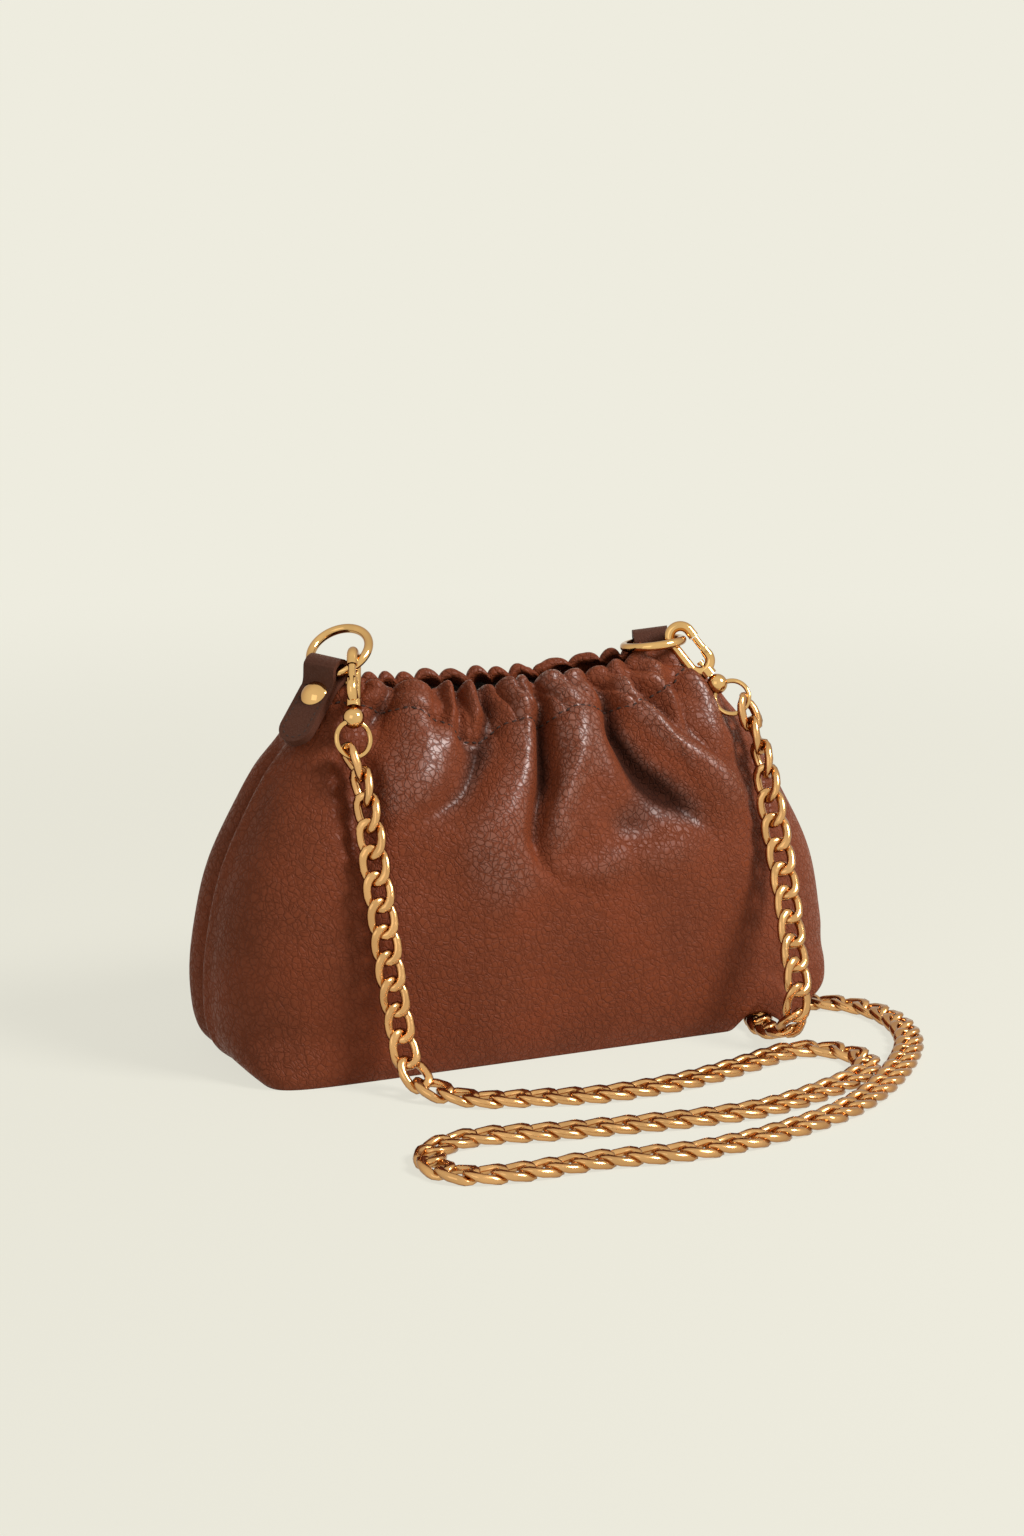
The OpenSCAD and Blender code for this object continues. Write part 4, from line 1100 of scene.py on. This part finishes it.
class BAG_OT_tabs(bpy.types.Operator):
    """Folds the two leather tabs round their rings and sews their edges"""
    bl_idname = "bag.tabs"
    bl_label = "Tabs"

    def execute(self, context):
        path = curve_through(tab_path(), 3)
        run = run_along(path)
        half = TAB["width"] / 2
        rounding = np.maximum(half - np.minimum(run, run[-1] - run), 0)
        wide = np.maximum(np.sqrt(half**2 - rounding**2), TAB["least_width"])
        across = np.linspace(-1, 1, TAB["across"])
        grid = np.array([[(a * w, p[0], p[1]) for a in across] for p, w in zip(path, wide)])
        inset, bottom = half - TAB["seam_inset"], half - TAB["end"]
        down = [(inset, z) for z in np.linspace(TAB["seam_top"], bottom, TAB["seam_rows"])]
        turn = [(inset * math.cos(a), bottom + inset * math.sin(a))
                for a in np.linspace(math.pi, 2 * math.pi, TAB["seam_turn"])[1:-1]]
        seam = [(-x, z) for x, z in down] + turn + down[::-1]
        piece = stitch_piece(TAB_STITCH["length"], TAB_STITCH["thick"])
        for name, f in TABS.items():
            obj = grid_object(name + "_tab_leather", in_frame(f, grid), "tab leather")
            thick = obj.modifiers.new("Thickness", "SOLIDIFY")
            thick.thickness = TAB["leather"] * MM
            thick.offset = 0
            edge = obj.modifiers.new("Edge", "BEVEL")
            edge.width = TAB_EDGE["width"]
            edge.segments = TAB_EDGE["segments"]
            edge.limit_method = "ANGLE"
            edge.angle_limit = math.radians(TAB_EDGE["above_degrees"])
            settle(apply_modifiers(obj), "bag", "tab_leather", name + "_tab")
            line = in_frame(f, [(x, -TAB["leather"] - TAB["proud"], z) for x, z in seam])
            out = np.repeat([f[1]], len(line), 0) * -1.0
            sew(name + "_tab_stitches", line, out, TAB_STITCH["pitch"], piece, "tab_leather")
        bpy.data.objects.remove(piece)
        return {"FINISHED"}


# Metal

class BAG_OT_hardware(bpy.types.Operator):
    """Finishes the rings, hooks, gates, swivels and rivets"""
    bl_idname = "bag.hardware"
    bl_label = "Rings and hooks"

    def execute(self, context):
        for side in ("left", "right"):
            for part in ("ring", "hook", "gate", "swivel", "jump_ring", "rivet", "rivet_base"):
                paint(side + "_" + part, "polished gold")
            paint(side + "_gate_pin", "pin metal")
        return {"FINISHED"}


# Chain

# The chain's route in metres, and the way that its links face
LEFT_HANG = [
    ((-0.0795, -0.0335, 0.1185), (-1, -0.15, 0)), ((-0.079, -0.0385, 0.108), (-0.85, -0.45, 0.1)),
    ((-0.079, -0.046, 0.088), (-0.5, -0.85, 0.2)), ((-0.0785, -0.0515, 0.071), (-0.2, -1, 0.25)),
    ((-0.0775, -0.055, 0.054), (-0.1, -1, 0.2)), ((-0.0765, -0.0575, 0.041), (0, -1, 0.2)),
    ((-0.075, -0.060, 0.028), (0, -1, 0.2)), ((-0.074, -0.063, 0.017), (0, -0.9, 0.4)),
    ((-0.072, -0.068, 0.009), (0, -0.7, 0.7)), ((-0.0685, -0.075, 0.0052), (0, -0.3, 1)),
    ((-0.062, -0.082, 0.0035), (0, 0, 1))]
FLOOR_RUN = [
    (-0.054, -0.0875), (-0.046, -0.091), (-0.028, -0.0965), (-0.009, -0.101), (0.014, -0.1015),
    (0.036, -0.0985), (0.062, -0.091), (0.074, -0.0865), (0.086, -0.0845), (0.098, -0.090),
    (0.1045, -0.103), (0.096, -0.119), (0.070, -0.1315), (0.043, -0.139), (0.014, -0.139),
    (-0.024, -0.134), (-0.046, -0.130), (-0.060, -0.1265), (-0.075, -0.1255), (-0.089, -0.1315),
    (-0.095, -0.145), (-0.0885, -0.158), (-0.069, -0.1635), (-0.038, -0.164), (-0.001, -0.169),
    (0.034, -0.1645), (0.071, -0.1515), (0.103, -0.128), (0.129, -0.099), (0.140, -0.075),
    (0.141, -0.054), (0.133, -0.039), (0.119, -0.031), (0.104, -0.031), (0.094, -0.038),
    (0.089, -0.048), (0.0875, -0.058)]
RIGHT_HANG = [
    ((0.087, -0.065, 0.004), (0, -0.1, 1)), ((0.0868, -0.073, 0.0068), (0, -0.4, 1)),
    ((0.0868, -0.0795, 0.013), (0, -0.8, 0.6)), ((0.0872, -0.0815, 0.021), (0, -1, 0.1)),
    ((0.0885, -0.079, 0.030), (0, -1, 0)), ((0.0905, -0.0715, 0.041), (0, -1, 0.1)),
    ((0.093, -0.062, 0.056), (-0.1, -1, 0.2)), ((0.095, -0.051, 0.074), (-0.3, -0.95, 0.3)),
    ((0.095, -0.0405, 0.098), (-0.8, -0.6, 0.2)), ((0.0955, -0.034, 0.111), (-0.95, 0, 0.1))]
# The middles of the small rings, the way that they hang, and the first links' facings
SMALL_RINGS = {
    "left": ((-0.0803156, -0.028434, 0.132438), (0.123264, 0.310041, 0.942699), (-1, 0.1, 0)),
    "right": ((0.0877898, -0.0206982, 0.134228), (-0.526517, 0.608325, 0.593903), (-0.44, 0.9, 0)),
}
# Sizes in metres: the rings' middles to the first links, and the lowest point of a link
HANG_DROP = 0.0091
LOWEST = 0.00005
LINKS = 108
# Steps of the route from one point to the next
ROUTE_STEPS = 6
# A link: corners along its loop and round its wire, the loop's squareness, its bow in metres and
# how the bow gathers at the ends, the angle over which its direction is taken, how far out its
# ends face, and how its faces are ground: from which share, over which share and how fast
LINK = {"around": 20, "section": 8, "square": 0.8, "bow": 0.0016, "gather": 0.75, "beside": 0.06,
        "end_out": 0.8, "ground": 0.82, "over": 0.5, "fast": 1.6}


def chain_route(rest):
    """Dense path of the whole chain, its facings, its run, and the run at both feet."""
    ends = {}
    for name, (middle, up, facing) in SMALL_RINGS.items():
        ends[name] = [*(np.array(middle) - np.array(up) * HANG_DROP), *facing]
    left = [ends["left"]] + [[*p, *f] for p, f in LEFT_HANG]
    floor = [[x, y, rest, 0, 0, 1] for x, y in FLOOR_RUN]
    right = [[*p, *f] for p, f in RIGHT_HANG] + [ends["right"]]
    dense = curve_through(left + floor + right, ROUTE_STEPS)
    path = dense[:, :3]
    path[:, 2] = np.maximum(path[:, 2], rest)
    run = run_along(path)
    feet = [run[len(points) * ROUTE_STEPS] for points in (left, left + floor)]
    return path, dense[:, 3:], run, *feet


def link_piece(sizes):
    """One curb link: a bowed loop of wire whose two faces are ground flat."""
    around, section, ground = LINK["around"], LINK["section"], LINK["ground"]
    half_length = (sizes.link_length - sizes.wire) / 2
    half_width = (sizes.link_width - sizes.wire) / 2
    limit = sizes.flat / 2

    def middle(a):
        return np.array([half_length * np.cos(a),
                         half_width * np.sign(np.sin(a)) * np.abs(np.sin(a)) ** LINK["square"],
                         LINK["bow"] * np.sin(2 * a) * (1 + LINK["gather"] * np.cos(2 * a))])
    points = []
    for a in 2 * math.pi * (np.arange(around) + 0.5) / around:
        ahead = middle(a + LINK["beside"]) - middle(a - LINK["beside"])
        x, y, z = axes_along(ahead, np.array([LINK["end_out"] * math.cos(a), math.sin(a), 0]))
        for b in 2 * math.pi * np.arange(section) / section:
            p = middle(a) + sizes.wire / 2 * (z * math.cos(b) - y * math.sin(b))
            over = (abs(p[2]) - limit * ground) / (limit * LINK["over"])
            if over > 0:
                share = ground + (1 - ground) * math.tanh(over * LINK["fast"])
                p[2] = math.copysign(limit * share, p[2])
            points.append(p)
    faces = [tuple(v % len(points) for v in face)
             for face in grid_faces(around + 1, section, closed=True, flip=True)]
    return face_outwards(mesh_object("link", points, faces, finish_named("chain gold")))


class BAG_OT_chain(bpy.types.Operator):
    """Links the chain from one small ring over the floor to the other"""
    bl_idname = "bag.chain"
    bl_label = "Chain"

    def execute(self, context):
        sizes = context.scene.bag_hardware
        path, facing, run, left_foot, right_foot = chain_route(sizes.chain_rest)
        end = run[-1]
        half = end / (LINKS - 1) / 2
        at = np.arange(LINKS) * (end / (LINKS - 1))
        ahead = (along_path(np.minimum(end, at + half), run, path)
                 - along_path(np.maximum(0, at - half), run, path))
        axes = np.array([axes_along(*row) for row in zip(ahead, along_path(at, run, facing))])
        places = along_path(at, run, path)
        link = link_piece(sizes)
        for node, chosen in (("chain_left_hang", at < left_foot),
                             ("chain_floor", (at >= left_foot) & (at < right_foot)),
                             ("chain_right_hang", at >= right_foot)):
            obj = repeated(node + "_links", places[chosen], axes[chosen], link,
                           finish_named("chain gold"))
            spots = np.empty(3 * len(obj.data.vertices))
            obj.data.vertices.foreach_get("co", spots)
            spots[2::3] = np.maximum(spots[2::3], LOWEST)
            obj.data.vertices.foreach_set("co", spots)
            if node == "chain_floor":
                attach(obj, "bag")
            else:
                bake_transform(obj)
            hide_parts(node)
        bpy.data.objects.remove(link)
        return {"FINISHED"}


# Studio

# Sizes in metres: half the floor's width and the place that the lamps shine on
FLOOR_HALF = 6
LIT = (0, 0, 0.08)


def look(obj, place, aim):
    """Sets a lamp or the camera in its place and turns it to its aim."""
    obj.location = place
    obj.rotation_euler = (Vector(aim) - Vector(place)).to_track_quat("-Z", "Y").to_euler()


def lamp(name, place, size, power, colour=(1, 1, 1)):
    """Square lamp that shines on the bag's middle."""
    data = bpy.data.lights.new(name, "AREA")
    data.shape = "RECTANGLE"
    data.size = size
    data.size_y = size
    data.energy = power
    data.color = colour
    look(place_object(name, data), place, LIT)


def floor_material(colour):
    """The backdrop's colour to the camera and in reflections, with the bag's shadow."""
    material = bpy.data.materials.new("studio floor")
    n = empty_nodes(material)
    matt = n.add("ShaderNodeBsdfDiffuse", {"Color": toned(colour)})
    glow = n.add("ShaderNodeEmission", {"Color": toned(colour), "Strength": 1.0})
    place = n.add("ShaderNodeTexCoord").outputs["Object"]
    away = n.add("ShaderNodeVectorMath", {0: place}, operation="LENGTH").outputs["Value"]
    share = n.times(n.seen(), n.span(away, 0.3, 1.2, 0.8, 1.0))
    both = n.add("ShaderNodeMixShader", {0: share, 1: matt.outputs[0], 2: glow.outputs[0]})
    n.add("ShaderNodeOutputMaterial", {"Surface": both.outputs[0]})
    return material


class BAG_OT_stage(bpy.types.Operator):
    """Sets the floor, the room's light, the lamps and the camera"""
    bl_idname = "bag.stage"
    bl_label = "Studio"

    def execute(self, context):
        scene = context.scene
        stage = scene.bag_stage
        scene.view_settings.view_transform = "Standard"
        corners = [(x * FLOOR_HALF, y * FLOOR_HALF, 0) for x, y in ((-1, -1), (1, -1), (1, 1), (-1, 1))]
        mesh_object("studio_floor", corners, [(0, 1, 2, 3)], floor_material(stage.backdrop))
        scene.world = bpy.data.worlds.new("studio room")
        n = empty_nodes(scene.world)
        strength = n.add("ShaderNodeMapRange", {"Value": n.seen(), "To Min": stage.sky, "To Max": 1.0})
        light = n.add("ShaderNodeBackground", {"Color": toned(stage.backdrop),
                                               "Strength": strength.outputs["Result"]})
        n.add("ShaderNodeOutputWorld", {"Surface": light.outputs[0]})
        lamp("key_lamp", (1.0, -1.05, 1.3), 0.6, stage.key, (1, 0.99, 0.975))
        lamp("fill_lamp", (-1.3, -1.1, 0.8), 1.0, stage.fill)
        data = bpy.data.cameras.new("picture camera")
        data.sensor_fit = "VERTICAL"
        data.sensor_height = 36
        data.lens = stage.lens
        scene.camera = place_object("picture camera", data)
        look(scene.camera, stage.camera_at, stage.aim_at)
        return {"FINISHED"}


# Panel and registration

STEPS = ("chain", "panels", "hem_stitches", "inside", "base", "tabs", "hardware", "stage")


class BAG_PT_sidebar(bpy.types.Panel):
    """Lists the bag's pieces and the sizes that can be changed"""
    bl_idname = "BAG_PT_sidebar"
    bl_label = "Chain shoulder bag"
    bl_space_type = "VIEW_3D"
    bl_region_type = "UI"
    bl_category = "Shoulder Bag"

    def draw(self, context):
        for group in (context.scene.bag_leather, context.scene.bag_hardware, context.scene.bag_stage):
            box = self.layout.box()
            for name in group.__annotations__:
                box.prop(group, name)
        for step in STEPS:
            self.layout.operator("bag." + step)


CLASSES = (BagLeather, BagHardware, BagStage, BAG_OT_chain, BAG_OT_panels, BAG_OT_hem_stitches,
           BAG_OT_inside, BAG_OT_base, BAG_OT_tabs, BAG_OT_hardware, BAG_OT_stage, BAG_PT_sidebar)


def register():
    for cls in CLASSES:
        bpy.utils.register_class(cls)
    bpy.types.Scene.bag_leather = PointerProperty(type=BagLeather)
    bpy.types.Scene.bag_hardware = PointerProperty(type=BagHardware)
    bpy.types.Scene.bag_stage = PointerProperty(type=BagStage)


def unregister():
    del bpy.types.Scene.bag_leather, bpy.types.Scene.bag_hardware, bpy.types.Scene.bag_stage
    for cls in reversed(CLASSES):
        bpy.utils.unregister_class(cls)


def main():
    register()
    for step in STEPS:
        getattr(bpy.ops.bag, step)()


if __name__ == "__main__":
    main()
